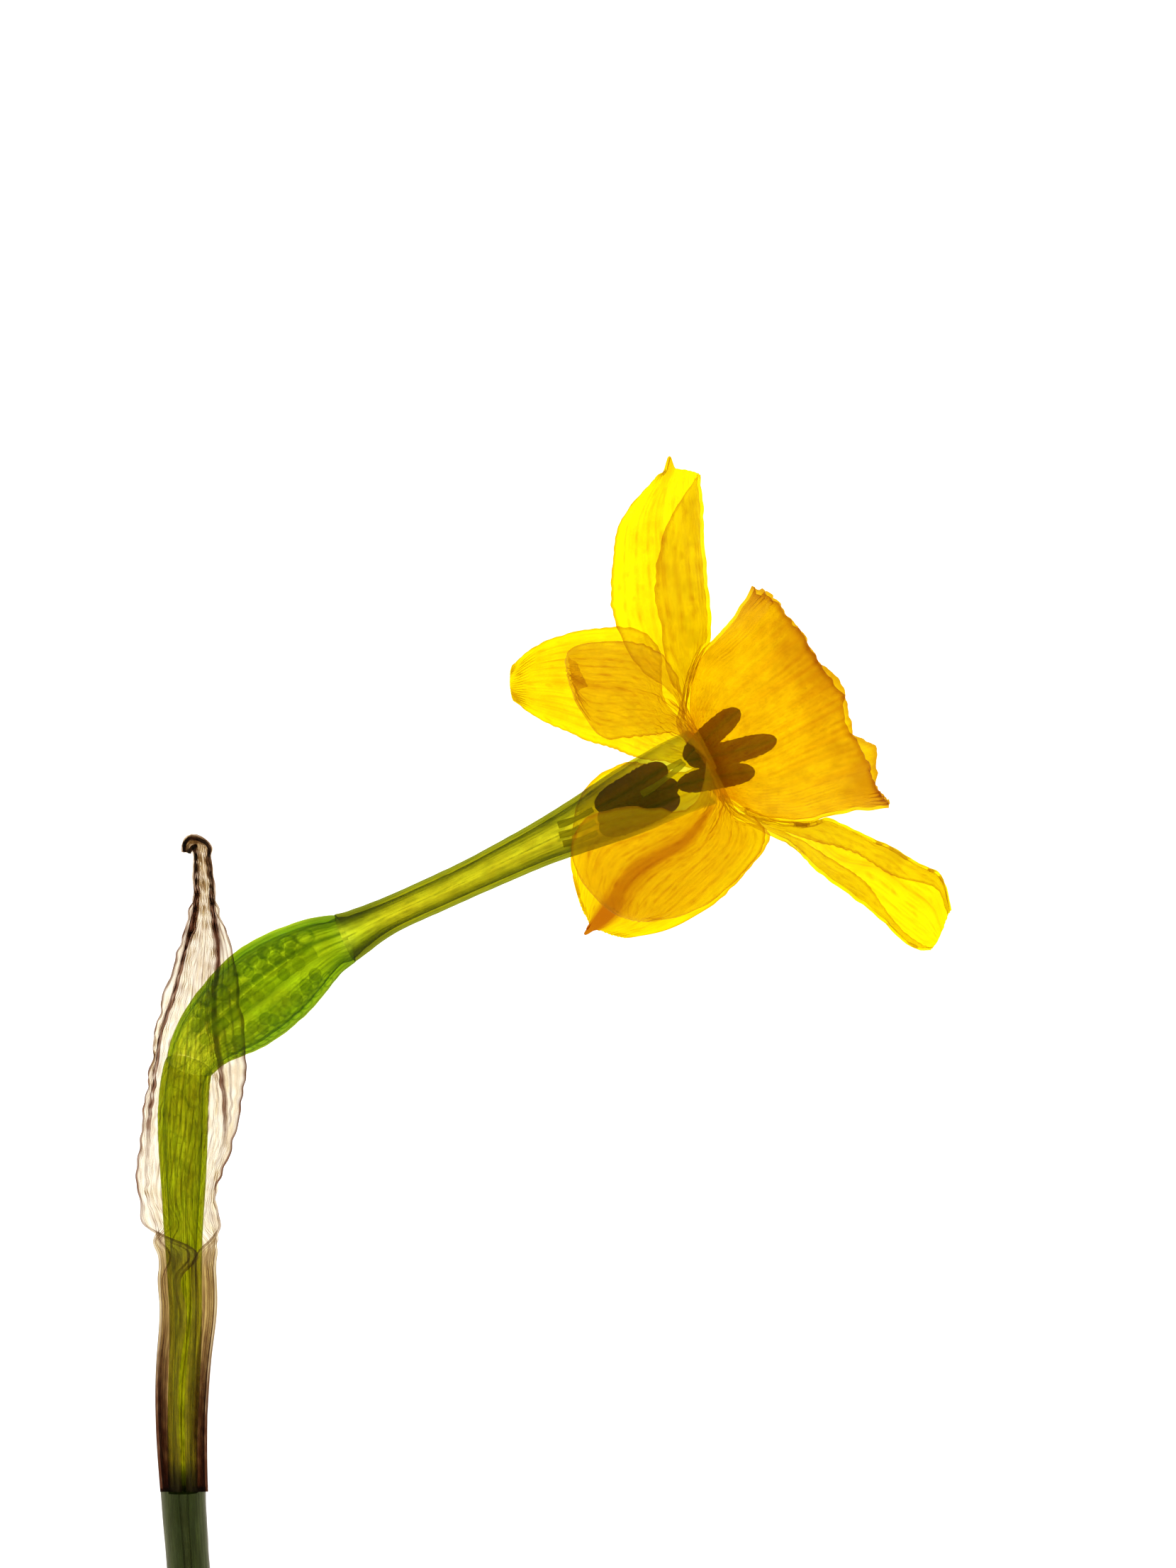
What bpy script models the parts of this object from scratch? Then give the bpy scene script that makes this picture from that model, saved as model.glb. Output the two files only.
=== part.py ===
"""A cut daffodil flower of the jonquil type, lying on its side on a level surface.

Layout: +Y runs up the stem, +X to the side that the flower nods to, +Z is up from the
surface the flower lies on. All design lengths below are in millimetres in a layout frame;
place() moves them to the part's own frame (origin under the middle of the bounding box,
Z = 0 on the surface) and turns them into metres.

Pieces: scape (hollow cut stem), pedicel, spathe (the papery bract), ovary with its
placenta inside, floral tube, six tepals in two whorls, corona, six stamens (filament
and anther each) in two whorls, and the style with its stigma.
"""

import math

import bmesh
import bpy
import numpy as np

# ---------------------------------------------------------------- driving dimensions (mm)
MM = 0.001
GAP = 0.3                       # clearance kept between pieces that are grown together
LAYOUT_ORIGIN = (-1.978, -12.304, 0.02)

MOUTH = np.array([11.1, 23.3, 11.6])   # centre of the flower's throat
HEADING = math.radians(30.0)           # the flower's axis, measured from +X in plan
NOD = math.radians(-5.0)               # the axis dips towards the surface

CORONA_DEPTH = 10.3
CORONA_MOUTH_R = 9.9
THROAT_R = 3.05                 # outer radius of the floral tube at the throat
TEPAL_RING_R = 3.4              # radius on which the six tepals stand
TEPAL_T = 0.5
FOLDED_T = 0.36       # wall of the tepal whose margins are folded over
CORONA_T = 0.5
TUBE_WALL = 0.45
OVARY_WALL = 0.6
SPATHE_T = 0.4
SCAPE_WALL = 0.75
ANTHER_L = 5.6
ANTHER_R = 0.56
FILAMENT_R = 0.24
STYLE_R = 0.25

# ---------------------------------------------------------------- scene and materials
for old in list(bpy.data.objects):
    bpy.data.objects.remove(old, do_unlink=True)

SCENE = bpy.context.scene


def material(name, colour, roughness, alpha=1.0):
    found = bpy.data.materials.get(name)
    if found:
        return found
    made = bpy.data.materials.new(name)
    made.use_nodes = True
    shader = made.node_tree.nodes["Principled BSDF"]
    shader.inputs["Base Color"].default_value = (*colour, 1.0)
    shader.inputs["Roughness"].default_value = roughness
    shader.inputs["Metallic"].default_value = 0.0
    shader.inputs["Alpha"].default_value = alpha
    made.diffuse_color = (*colour, 1.0)
    return made


TEPAL_YELLOW = material("tepal_yellow", (0.93, 0.74, 0.02), 0.5)
CORONA_ORANGE = material("corona_orange", (0.93, 0.52, 0.01), 0.5)
TUBE_GREEN = material("tube_green", (0.42, 0.47, 0.03), 0.45)
OVARY_GREEN = material("ovary_green", (0.22, 0.42, 0.02), 0.45)
PEDICEL_GREEN = material("pedicel_green", (0.34, 0.42, 0.02), 0.45)
SCAPE_GREEN = material("scape_green", (0.10, 0.17, 0.04), 0.5)
SPATHE_BUFF = material("spathe_buff", (0.62, 0.50, 0.36), 0.7)
ANTHER_BROWN = material("anther_brown", (0.30, 0.13, 0.03), 0.8)
STYLE_GREEN = material("style_green", (0.62, 0.62, 0.12), 0.5)
OVULE_GREEN = material("ovule_green", (0.45, 0.62, 0.08), 0.5)


# ---------------------------------------------------------------- geometry helpers
def place(points):
    """Layout millimetres to the part's frame in metres."""
    return (np.asarray(points, float) - np.array(LAYOUT_ORIGIN)) * MM


def spline(stations, at, knots=None):
    """A natural cubic curve through the stations, read at the parameters in at (0 to 1)."""
    y = np.asarray(stations, float)
    if y.ndim == 1:
        y = y[:, None]
    n = len(y)
    x = np.linspace(0.0, 1.0, n) if knots is None else np.asarray(knots, float)
    h = np.diff(x)
    lhs = np.zeros((n, n))
    rhs = np.zeros((n, y.shape[1]))
    lhs[0, 0] = lhs[-1, -1] = 1.0
    for i in range(1, n - 1):
        lhs[i, i - 1], lhs[i, i], lhs[i, i + 1] = h[i - 1], 2 * (h[i - 1] + h[i]), h[i]
        rhs[i] = 6 * ((y[i + 1] - y[i]) / h[i] - (y[i] - y[i - 1]) / h[i - 1])
    m = np.linalg.solve(lhs, rhs)
    t = np.asarray(at, float)
    k = np.clip(np.searchsorted(x, t) - 1, 0, n - 2)
    a, b = (x[k + 1] - t) / h[k], (t - x[k]) / h[k]
    out = (
        a[:, None] * y[k]
        + b[:, None] * y[k + 1]
        + ((a**3 - a)[:, None] * m[k] + (b**3 - b)[:, None] * m[k + 1]) * (h[k] ** 2)[:, None] / 6
    )
    return out


def knots_of(points):
    """Chord-length parameters, 0 to 1, for a row of points."""
    step = np.linalg.norm(np.diff(np.asarray(points, float), axis=0), axis=1)
    total = np.concatenate([[0.0], np.cumsum(step)])
    return total / total[-1]


def frames(path, tangent=None):
    """Tangent and two cross directions at each point of a path, turning as little as they can."""
    path = np.asarray(path, float)
    tangent = np.gradient(path, axis=0) if tangent is None else np.array(tangent)
    tangent /= np.linalg.norm(tangent, axis=1)[:, None]
    side = np.cross(tangent[0], [0.0, 0.0, 1.0])
    side /= np.linalg.norm(side)
    sides, ups = [], []
    for t in tangent:
        side = side - t * (side @ t)
        side = side / np.linalg.norm(side)
        sides.append(side)
        ups.append(np.cross(side, t))
    return tangent, np.array(sides), np.array(ups)


def link(name, mesh, mat, smooth=True):
    mesh.update()
    obj = bpy.data.objects.new(name, mesh)
    SCENE.collection.objects.link(obj)
    mesh.materials.append(mat)
    if smooth:
        mesh.shade_smooth()
        mesh.set_sharp_from_angle(angle=math.radians(50))
    return obj


def finish_bmesh(name, bm, mat):
    bm.normal_update()
    bmesh.ops.recalc_face_normals(bm, faces=bm.faces)
    if bm.calc_volume(signed=True) < 0:
        bmesh.ops.reverse_faces(bm, faces=bm.faces)
    mesh = bpy.data.meshes.new(name)
    bm.to_mesh(mesh)
    bm.free()
    return link(name, mesh, mat)


def ring_verts(bm, centre, side, up, radius, count, shape=None):
    made = []
    for i in range(count):
        turn = 2 * math.pi * i / count
        r = radius * (shape(turn) if shape else 1.0)
        made.append(bm.verts.new(place(centre + side * (r * math.cos(turn)) + up * (r * math.sin(turn)))))
    return made


def bridge(bm, first, second):
    n = len(first)
    for i in range(n):
        j = (i + 1) % n
        bm.faces.new((first[i], first[j], second[j], second[i]))


def rod(name, path, radii, count, mat, shape=None, tangent=None):
    """A solid stalk along a path, closed by flat caps."""
    _, sides, ups = frames(path, tangent)
    bm = bmesh.new()
    rings = [ring_verts(bm, c, s, u, r, count, shape) for c, s, u, r in zip(path, sides, ups, radii)]
    for a, b in zip(rings, rings[1:]):
        bridge(bm, a, b)
    bm.faces.new(rings[0])
    bm.faces.new(rings[-1])
    return finish_bmesh(name, bm, mat)


def pipe(name, path, outer, inner, count, mat, shape=None, closed_start=False, floor_at=1, tangent=None):
    """A hollow stalk. With closed_start, the bore stops short of the path's first ring."""
    _, sides, ups = frames(path, tangent)
    bm = bmesh.new()
    out = [ring_verts(bm, c, s, u, r, count, shape) for c, s, u, r in zip(path, sides, ups, outer)]
    first = floor_at if closed_start else 0
    ins = [
        ring_verts(bm, c, s, u, r, count, shape)
        for c, s, u, r in list(zip(path, sides, ups, inner))[first:]
    ]
    for a, b in zip(out, out[1:]):
        bridge(bm, a, b)
    for a, b in zip(ins, ins[1:]):
        bridge(bm, a, b)
    bridge(bm, out[-1], ins[-1])
    if closed_start:
        bm.faces.new(out[0])
        bm.faces.new(ins[0])
    else:
        bridge(bm, out[0], ins[0])
    return finish_bmesh(name, bm, mat)


def sheet(name, grid, thickness, mat, around=False):
    """A thin piece from a grid of points, given its thickness by a Solidify modifier."""
    grid = np.asarray(grid, float)
    rows, cols = grid.shape[:2]
    bm = bmesh.new()
    verts = [[bm.verts.new(place(p)) for p in row] for row in grid]
    for i in range(rows - 1):
        for j in range(cols if around else cols - 1):
            k = (j + 1) % cols
            bm.faces.new((verts[i][j], verts[i][k], verts[i + 1][k], verts[i + 1][j]))
    bmesh.ops.recalc_face_normals(bm, faces=bm.faces)
    mesh = bpy.data.meshes.new(name)
    bm.to_mesh(mesh)
    bm.free()
    obj = link(name, mesh, mat)
    solid = obj.modifiers.new("thickness", "SOLIDIFY")
    solid.thickness = thickness * MM
    solid.offset = 0.0
    solid.use_rim = True
    return obj


# ---------------------------------------------------------------- the flower's own axes
PLAN = np.array([math.cos(HEADING), math.sin(HEADING), 0.0])      # axis in plan
CROSS = np.array([-math.sin(HEADING), math.cos(HEADING), 0.0])    # across it, in plan
UP = np.array([0.0, 0.0, 1.0])
AXIS = PLAN * math.cos(NOD) + UP * math.sin(NOD)                  # the true axis, dipping
RISE = UP * math.cos(NOD) - PLAN * math.sin(NOD)                  # square to AXIS and CROSS


def from_axis(a, p, q):
    """Along the true axis, across it in plan, and up from it."""
    return MOUTH + AXIS * a + CROSS * p + RISE * q


# ---------------------------------------------------------------- stem: scape, pedicel
def stalk(stations, steps):
    """Centre line and radius along stations of (x, y, z, radius)."""
    s = np.asarray(stations, float)
    at = np.linspace(0, 1, steps)
    k = knots_of(s[:, :3])
    return spline(s[:, :3], at, k), spline(s[:, 3:4], at, k)[:, 0]


SCAPE = [
    (-28.81, -71.11, 1.64, 1.74),
    (-29.03, -62.11, 1.7, 1.72),
    (-29.48, -50.85, 1.85, 1.66),
    (-30.03, -40.27, 2.1, 1.62),
    (-30.3, -36.2, 2.35, 1.66),
    (-30.41, -34.62, 2.45, 1.73),
]
# the centre line of the whole flower above the node: pedicel, then ovary, then floral tube
CENTRE_LINE = [
    (-30.44, -34.29, 2.48),
    (-30.49, -29.79, 2.58),
    (-30.23, -20.62, 2.8),
    (-30.39, -14.27, 3.0),
    (-30.4, -9.2, 3.35),
    (-30.42, -5.82, 3.75),
    (-30.31, -2.72, 4.3),
    (-29.81, -0.18, 5.1),
    (-28.2, 2.26, 6.3),
    (-25.97, 4.13, 7.6),
    (-24.27, 5.55, 8.5),
    (-22.58, 6.84, 9.2),
    (-20.61, 8.24, 9.8),
    (-18.82, 9.25, 10.1),
    (-17.43, 9.81, 10.25),
    (-15.59, 10.76, 10.45),
    (-11.12, 12.88, 11.2),
    (-6.67, 14.94, 11.9),
    (-2.22, 17.11, 12.3),
    (2.22, 19.22, 12.3),
    (6.67, 21.45, 12.0),
    (9.34, 22.72, 11.75),
    (10.62, 23.22, 11.6),
]
PEDICEL_R = [1.16, 1.20, 1.25, 1.30, 1.46, 1.76, 1.98, 1.90]
OVARY_R = [1.95, 2.55, 3.20, 3.62, 3.68, 3.35, 2.70, 1.95]
TUBE_R = [1.66, 1.46, 1.40, 1.42, 1.55, 1.75, 2.15, 2.60, 2.85, THROAT_R]
PEDICEL_END, OVARY_END = 7, 14   # the stations at which the pedicel and the ovary end


def two_edged(turn):
    """The scape is slightly flattened, with a faint ridge down each side."""
    return 1.0 + 0.05 * math.cos(2 * turn)


path, radii = stalk(SCAPE, 9)
pipe("scape", path, radii, radii - SCAPE_WALL, 14, SCAPE_GREEN, two_edged)
# the top of the hollow is closed by the node, a disc of solid tissue
LINE_KNOTS = knots_of(CENTRE_LINE)
LINE_LENGTH = float(np.linalg.norm(np.diff(CENTRE_LINE, axis=0), axis=1).sum())


def reach(first, last, steps, radii, trim=(0.0, 0.0)):
    """A run of the centre line between two of its stations, trimmed at its ends: points, radii, tangents."""
    lo = LINE_KNOTS[first] + trim[0] / LINE_LENGTH
    hi = LINE_KNOTS[last] - trim[1] / LINE_LENGTH
    at = np.linspace(lo, hi, steps)
    r = spline(np.array(radii)[:, None], np.linspace(0, 1, steps), np.linspace(0, 1, len(radii)))
    ahead = spline(CENTRE_LINE, at + 1e-4, LINE_KNOTS) - spline(CENTRE_LINE, at - 1e-4, LINE_KNOTS)
    return spline(CENTRE_LINE, at, LINE_KNOTS), r[:, 0], ahead


path, radii, ahead = reach(0, PEDICEL_END, 13, PEDICEL_R, (0.0, 0.25))
rod("pedicel", path, radii, 12, PEDICEL_GREEN, tangent=ahead)

# ---------------------------------------------------------------- ovary, hollow, with the placenta inside
def three_lobed(turn):
    """The ovary has three rounded lobes, one for each cell."""
    return 1.0 + 0.045 * math.cos(3 * turn)


path, radii, ahead = reach(PEDICEL_END, OVARY_END, 13, OVARY_R, (0.25, GAP / 2))
inner = np.clip(radii - OVARY_WALL, 0.85, None)
inner[-1] = inner[-2] = 0.85
pipe("ovary", path, radii, inner, 18, OVARY_GREEN, three_lobed, True, 2, ahead)


def placenta_shape(turn):
    return 1.0 + 0.30 * math.cos(3 * turn)


core, core_r = path[3:-2], np.clip(radii[3:-2] - OVARY_WALL - 1.15, 0.5, 1.7)
rod("placenta", core, core_r, 12, OVULE_GREEN, placenta_shape)

# ---------------------------------------------------------------- floral tube
path, radii, ahead = reach(OVARY_END, len(CENTRE_LINE) - 1, 16, TUBE_R, (GAP / 2, 0.0))
tube_path, tube_radii = path, radii
pipe("floral_tube", path, radii, radii - TUBE_WALL, 18, TUBE_GREEN, tangent=ahead)

# ---------------------------------------------------------------- corona: a ruffled cup
CORONA = [  # along the axis, radius
    (0.60, 3.20),
    (1.15, 4.85),
    (1.95, 6.15),
    (2.90, 7.10),
    (4.20, 7.85),
    (5.60, 8.20),
    (7.20, 8.65),
    (8.90, 9.30),
    (CORONA_DEPTH, CORONA_MOUTH_R),
]


RIM_REACH = [  # degrees from CROSS towards RISE, how much further the rim reaches there
    (0, -0.40), (18, 0.20), (36, -0.01), (57, 0.49), (70, 0.33), (82, 0.22), (94, 0.55),
    (102, 0.42), (110, -0.06), (126, -0.32), (141, -0.10), (160, -0.09), (180, 0.64), (200, 0.52),
    (218, 1.28), (228, 2.30), (238, 2.56), (245, 1.91), (252, 1.64), (262, 2.47), (271, 3.16),
    (280, 2.64), (290, 2.14), (300, 2.41), (312, 1.83), (325, 1.40), (342, 0.94), (360, -0.40),
]


def rim_reach(turn):
    table = np.array(RIM_REACH, float)
    return float(np.interp(math.degrees(turn) % 360.0, table[:, 0], table[:, 1]))


def corona_point(s, turn, profile=np.array(CORONA)):
    """s runs 0 to 1 from base to rim; turn is the angle from CROSS towards RISE. The cup is
    a little fuller on the CROSS side, and its rim reaches further in places."""
    a, r = spline(profile, [s], knots_of(profile))[0]
    lip = max(0.0, (s - 0.55) / 0.45) ** 2
    full = min(1.0, max(0.0, (s - 0.15) / 0.25))
    full = full * full * (3 - 2 * full)
    side = 0.5 * (1 - math.cos(turn))
    r += full * (0.22 * math.cos(turn) - 0.12 - 0.16 * math.exp(-(((s - 0.42) / 0.12) ** 2)) * side)
    r += lip * (0.28 * math.sin(12 * turn + 0.6) + 0.16 * math.sin(19 * turn + 2.0))
    a += s**3 * rim_reach(turn) + lip * 0.16 * math.sin(9 * turn + 1.1)
    return from_axis(a, r * math.cos(turn), r * math.sin(turn))


grid = [
    [corona_point(s, 2 * math.pi * j / 60) for j in range(60)]
    for s in np.linspace(0, 1, 9)
]
sheet("corona", grid, CORONA_T, CORONA_ORANGE, around=True)

# ---------------------------------------------------------------- tepals
# Each tepal is a net of guide points (x, y, z in the layout frame): one row for each station
# from base to tip, and in each row the points across it.
TEPALS = {
    "tepal_outer_1": [
        [(9.1, 25.94, 13.0), (8.83, 26.28, 12.1), (8.84, 26.28, 11.1), (9.13, 25.95, 10.2)],
        [(8.59, 28.59, 14.6), (8.99, 29.16, 13.4), (9.89, 28.62, 11.6), (9.25, 28.25, 9.0)],
        [(5.81, 30.79, 16.0), (7.76, 31.63, 15.0), (10.56, 31.11, 11.8), (8.19, 30.03, 8.8)],
        [(3.88, 34.1, 16.8), (7.2, 34.67, 15.6), (11.11, 33.89, 12.0), (7.58, 33.39, 8.2)],
        [(3.44, 36.86, 16.6), (7.2, 37.44, 15.4), (10.94, 36.94, 12.2), (6.97, 37.01, 8.4)],
        [(3.66, 40.19, 16.0), (7.37, 40.5, 14.8), (10.67, 40.0, 12.2), (7.24, 40.06, 9.0)],
        [(4.44, 42.87, 15.0), (7.65, 43.39, 14.2), (10.5, 43.05, 12.2), (8.24, 42.99, 10.0)],
        [(5.99, 44.83, 14.2), (7.88, 45.29, 13.6), (10.39, 45.0, 12.2), (9.35, 44.81, 10.8)],
        [(7.21, 46.07, 13.6), (7.99, 46.41, 13.2), (10.33, 46.05, 12.2), (10.12, 45.79, 11.6)],
    ],
    "tepal_inner_1": [
        [(8.93, 25.88, 13.5), (9.7, 24.66, 14.7), (10.36, 23.44, 15.2)],
        [(8.74, 29.13, 17.0), (9.23, 27.19, 18.0), (9.34, 25.26, 17.4)],
        [(7.39, 31.85, 20.0), (6.33, 28.7, 22.0), (7.16, 25.74, 21.0)],
        [(5.12, 32.86, 23.0), (3.86, 29.22, 25.2), (4.96, 25.51, 23.6)],
        [(3.2, 32.88, 25.4), (2.1, 29.86, 27.2), (2.87, 25.5, 25.2)],
        [(1.45, 32.7, 26.8), (0.9, 30.39, 28.0), (1.67, 26.7, 26.4)],
        [(0.36, 32.31, 27.4), (0.25, 30.61, 28.2), (0.79, 28.22, 27.2)],
        [(0.03, 31.71, 27.0), (0.19, 30.51, 27.2), (0.74, 28.99, 26.8)],
        [(0.68, 31.29, 26.0), (1.07, 30.36, 25.8), (1.5, 29.43, 25.8)],
    ],
    "tepal_outer_2": [
        [(10.86, 22.89, 15.2), (11.41, 21.72, 14.7), (12.09, 20.56, 13.6)],
        [(10.22, 20.68, 17.4), (11.33, 19.9, 17.6), (13.83, 19.46, 16.4)],
        [(6.18, 20.02, 20.0), (9.64, 17.38, 20.8), (15.34, 18.25, 18.8)],
        [(2.55, 19.69, 21.8), (6.88, 15.91, 22.6), (14.59, 16.06, 20.6)],
        [(0.57, 17.94, 22.6), (4.96, 14.27, 23.2), (12.32, 13.71, 21.6)],
        [(0.68, 15.36, 22.6), (3.97, 12.9, 23.0), (10.18, 12.28, 22.0)],
        [(2.11, 13.11, 22.2), (4.3, 11.85, 22.4), (7.98, 11.57, 21.8)],
        [(3.64, 11.95, 21.8), (5.07, 11.46, 21.8), (6.61, 11.34, 21.6)],
    ],
    "tepal_inner_2": [
        [(12.1, 20.56, 13.2), (12.33, 20.28, 12.3), (12.4, 20.17, 11.6), (12.35, 20.28, 10.8), (12.14, 20.55, 9.9)],
        [(15.1, 18.12, 13.6), (14.83, 19, 12.8), (15.19, 18.28, 11.6), (15.32, 17.55, 10.2), (15, 17.99, 9)],
        [(17.73, 17.06, 12.4), (17.62, 18.45, 12.2), (17.43, 17.55, 10.6), (17.34, 16.54, 9), (17.81, 16.87, 7.1)],
        [(20.56, 16.21, 10.2), (20.89, 18.05, 10), (19.92, 16.48, 8.2), (19.06, 15.3, 6.6), (20.54, 15.4, 4.3)],
        [(23.2, 15.8, 8.2), (23.36, 17.32, 8), (22.28, 15.57, 6.2), (20.64, 14.11, 4.8), (22.45, 14.6, 2.9)],
        [(25.05, 14.95, 6.9), (25.6, 16.8, 6.6), (24.24, 14.83, 5), (22.87, 12.92, 3.8), (23.78, 13.92, 2.6)],
        [(27.1, 14.2, 5.8), (27.93, 15.34, 5.2), (26.62, 13.25, 4), (25.12, 11.06, 3.4), (25.45, 11.95, 2.4)],
        [(29, 13.5, 5.5), (29.52, 14.38, 4.6), (28.49, 11.74, 3.6), (27.7, 10.2, 3.4), (27.14, 9.26, 3.3)],
        [(30.15, 11.8, 4.5), (29.95, 11.1, 4.1), (29.66, 10.34, 3.8), (29.15, 9.65, 3.6), (28.6, 8.93, 3.4)],
    ],
    "tepal_inner_3": [
        [(8.91, 25.9, 9.5), (9.76, 24.68, 8.5), (10.49, 23.45, 8.0)],
        [(7.53, 28.65, 7.2), (7.71, 25.86, 6.0), (8.27, 23.57, 6.4)],
        [(7.33, 32.03, 5.0), (5.88, 26.83, 3.2), (5.71, 23.91, 3.7)],
        [(5.15, 34.18, 3.2), (3.36, 27.74, 1.3), (3.69, 24.7, 1.6)],
        [(2.06, 34.2, 1.8), (1.11, 28.7, 0.75), (1.78, 25.27, 0.95)],
        [(-0.75, 33.59, 1.0), (-1.26, 30.0, 0.45), (-0.53, 26.28, 0.55)],
        [(-3.06, 32.47, 0.7), (-3.29, 30.39, 0.38), (-2.61, 27.3, 0.42)],
        [(-4.41, 31.18, 0.5), (-4.58, 30.0, 0.36), (-4.3, 28.54, 0.36)],
    ],
    "tepal_outer_3": [
        [(10.93, 23.01, 8.1), (11.49, 21.72, 8.5), (12.14, 20.5, 9.5)],
        [(8.84, 22.79, 4.6), (10.63, 19.71, 4.8), (14.25, 18.7, 6.2)],
        [(5.88, 23.58, 2.3), (8.69, 17.73, 2.6), (16.02, 17.74, 4.2)],
        [(2.96, 22.9, 1.35), (6.45, 15.59, 1.3), (14.14, 14.92, 2.3)],
        [(0.94, 20.65, 1.2), (4.37, 14.07, 0.75), (12.24, 12.89, 1.2)],
        [(0.37, 17.72, 0.8), (3.19, 12.71, 0.5), (10.0, 11.31, 0.7)],
        [(0.37, 15.13, 0.6), (2.46, 11.59, 0.4), (7.3, 10.12, 0.5)],
        [(0.88, 12.99, 0.5), (2.01, 10.74, 0.38), (4.71, 9.67, 0.38)],
    ],
}


def net_surface(net, rows, cols):
    """A smooth surface through a net of guide points."""
    net = np.asarray(net, float)
    v = np.linspace(0, 1, cols)
    across = []
    for row in net:
        across.append(spline(row, v, knots_of(row)))
    across = np.array(across)
    middle = across[:, cols // 2]
    u = np.linspace(0, 1, rows)
    k = knots_of(middle)
    return np.stack([spline(across[:, j], u, k) for j in range(cols)], axis=1)


def off_the_cup(point, clear=1.0):
    """A point of a tepal, moved back or outwards where the corona would otherwise meet it."""
    rel = np.asarray(point, float) - MOUTH
    a, p, q = rel @ AXIS, rel @ CROSS, rel @ RISE
    if a < -0.6:
        return point
    r, turn = math.hypot(p, q), math.atan2(q, p)
    cup = np.array(CORONA)
    radius = cup[:, 1] + 0.22 * math.cos(turn) - 0.12
    if r < 7.4:
        a = min(a, float(np.interp(r, radius, cup[:, 0])) - clear)
    else:
        wide = max(r, float(np.interp(a, cup[:, 0], radius)) + clear + 0.25)
        p, q = p * wide / r, q * wide / r
    return from_axis(a, p, q)


for name, net in TEPALS.items():
    folded = len(net[0]) > 3
    surface = net_surface(net, 15 if folded else 13, 11 if folded else 7)
    if name != "tepal_inner_2":
        surface[1:] = [[off_the_cup(point) for point in row] for row in surface[1:]]
    sheet(name, surface, FOLDED_T if name == "tepal_inner_2" else TEPAL_T, TEPAL_YELLOW)

# ---------------------------------------------------------------- spathe: sheath below, open blade above
# Stations up the bract: (y, x of the middle, z of the middle, half width, half height, half opening in
# degrees measured from straight up, 0 being a closed sheath)
SPATHE = [
    (-34.17, -30.44, 2.5, 1.82, 1.84, 7.0),
    (-29.45, -30.52, 2.58, 1.85, 1.88, 7.0),
    (-22.7, -30.23, 2.78, 1.97, 1.95, 7.0),
    (-19.33, -29.97, 2.85, 2.05, 2.0, 7.0),
    (-16.52, -30.06, 2.9, 2.07, 2.08, 10.0),
    (-14.95, -29.95, 2.85, 2.19, 2.15, 30.0),
    (-13.43, -30.23, 2.8, 2.58, 2.25, 60.0),
    (-11.47, -30.85, 2.75, 2.89, 2.3, 84.0),
    (-9.22, -30.79, 2.75, 3.29, 2.35, 92.0),
    (-6.98, -30.29, 2.75, 3.65, 2.35, 97.0),
    (-4.73, -29.78, 2.75, 3.76, 2.3, 100.0),
    (-2.48, -29.33, 2.75, 3.82, 2.3, 103.0),
    (-0.24, -29.17, 2.65, 3.65, 2.2, 106.0),
    (2.57, -29.0, 2.5, 3.48, 2.05, 108.0),
    (5.37, -28.78, 2.4, 2.98, 1.9, 110.0),
    (8.18, -28.56, 2.4, 2.08, 1.7, 112.0),
    (9.87, -28.66, 2.6, 1.35, 1.5, 112.0),
    (11.56, -28.76, 2.9, 0.84, 1.2, 110.0),
    (14.37, -28.74, 3.6, 0.7, 0.9, 105.0),
    (16.34, -28.77, 4.4, 0.64, 0.75, 100.0),
    (17.3, -29.19, 5.0, 0.56, 0.65, 100.0),
]


def spathe_grid(rows, cols):
    s = np.asarray(SPATHE, float)
    k = knots_of(np.stack([s[:, 1], s[:, 0], s[:, 2]], axis=1))
    at = np.linspace(0, 1, rows)
    y, x, z, w, h, opening = spline(s, at, k).T
    grid = []
    for i in range(rows):
        half = math.radians(180.0 - max(6.0, opening[i]))
        row = []
        for j in range(cols):
            turn = -half + 2 * half * j / (cols - 1)  # 0 is straight down, at the back of the stem
            row.append((x[i] + w[i] * math.sin(turn), y[i], z[i] - h[i] * math.cos(turn)))
        grid.append(row)
    return grid


sheet("spathe", spathe_grid(30, 15), SPATHE_T, SPATHE_BUFF)

# ---------------------------------------------------------------- stamens and style
# Each stamen: name, foot of the filament on the tube, then the anther's two ends, in the
# flower's axes (along the axis, across in plan, up from the axis)
STAMENS = [
    ("upper_1", (-5.6, 1.25, -0.75), (-0.9, 1.05, -0.70), (4.3, 2.60, 0.3)),
    ("upper_2", (-5.4, 0.05, 1.45), (0.2, 0.75, 1.30), (5.7, -0.95, 2.0)),
    ("upper_3", (-6.0, -1.20, -0.80), (-2.4, -0.60, -1.05), (3.1, -2.20, -1.4)),
    ("lower_1", (-12.2, 0.75, 0.40), (-8.9, 0.88, 0.48), (-3.4, 1.35, 0.75)),
    ("lower_2", (-12.6, -0.75, 0.40), (-9.4, -0.88, 0.48), (-4.0, -1.30, 0.70)),
    ("lower_3", (-12.4, 0.00, -0.90), (-9.2, 0.00, -1.00), (-3.8, 0.10, -1.5)),
]


def tube_centre(a):
    """The tube's centre line at a distance a along the axis; behind the throat it follows the tube."""
    if a >= 0:
        return from_axis(a, 0, 0)
    length = np.concatenate([[0.0], np.cumsum(np.linalg.norm(np.diff(tube_path[::-1], axis=0), axis=1))])
    back = tube_path[::-1]
    return np.array([np.interp(-a, length, back[:, k]) for k in range(3)])


def in_flower(a, p, q):
    return tube_centre(a) + CROSS * p + RISE * q


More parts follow.
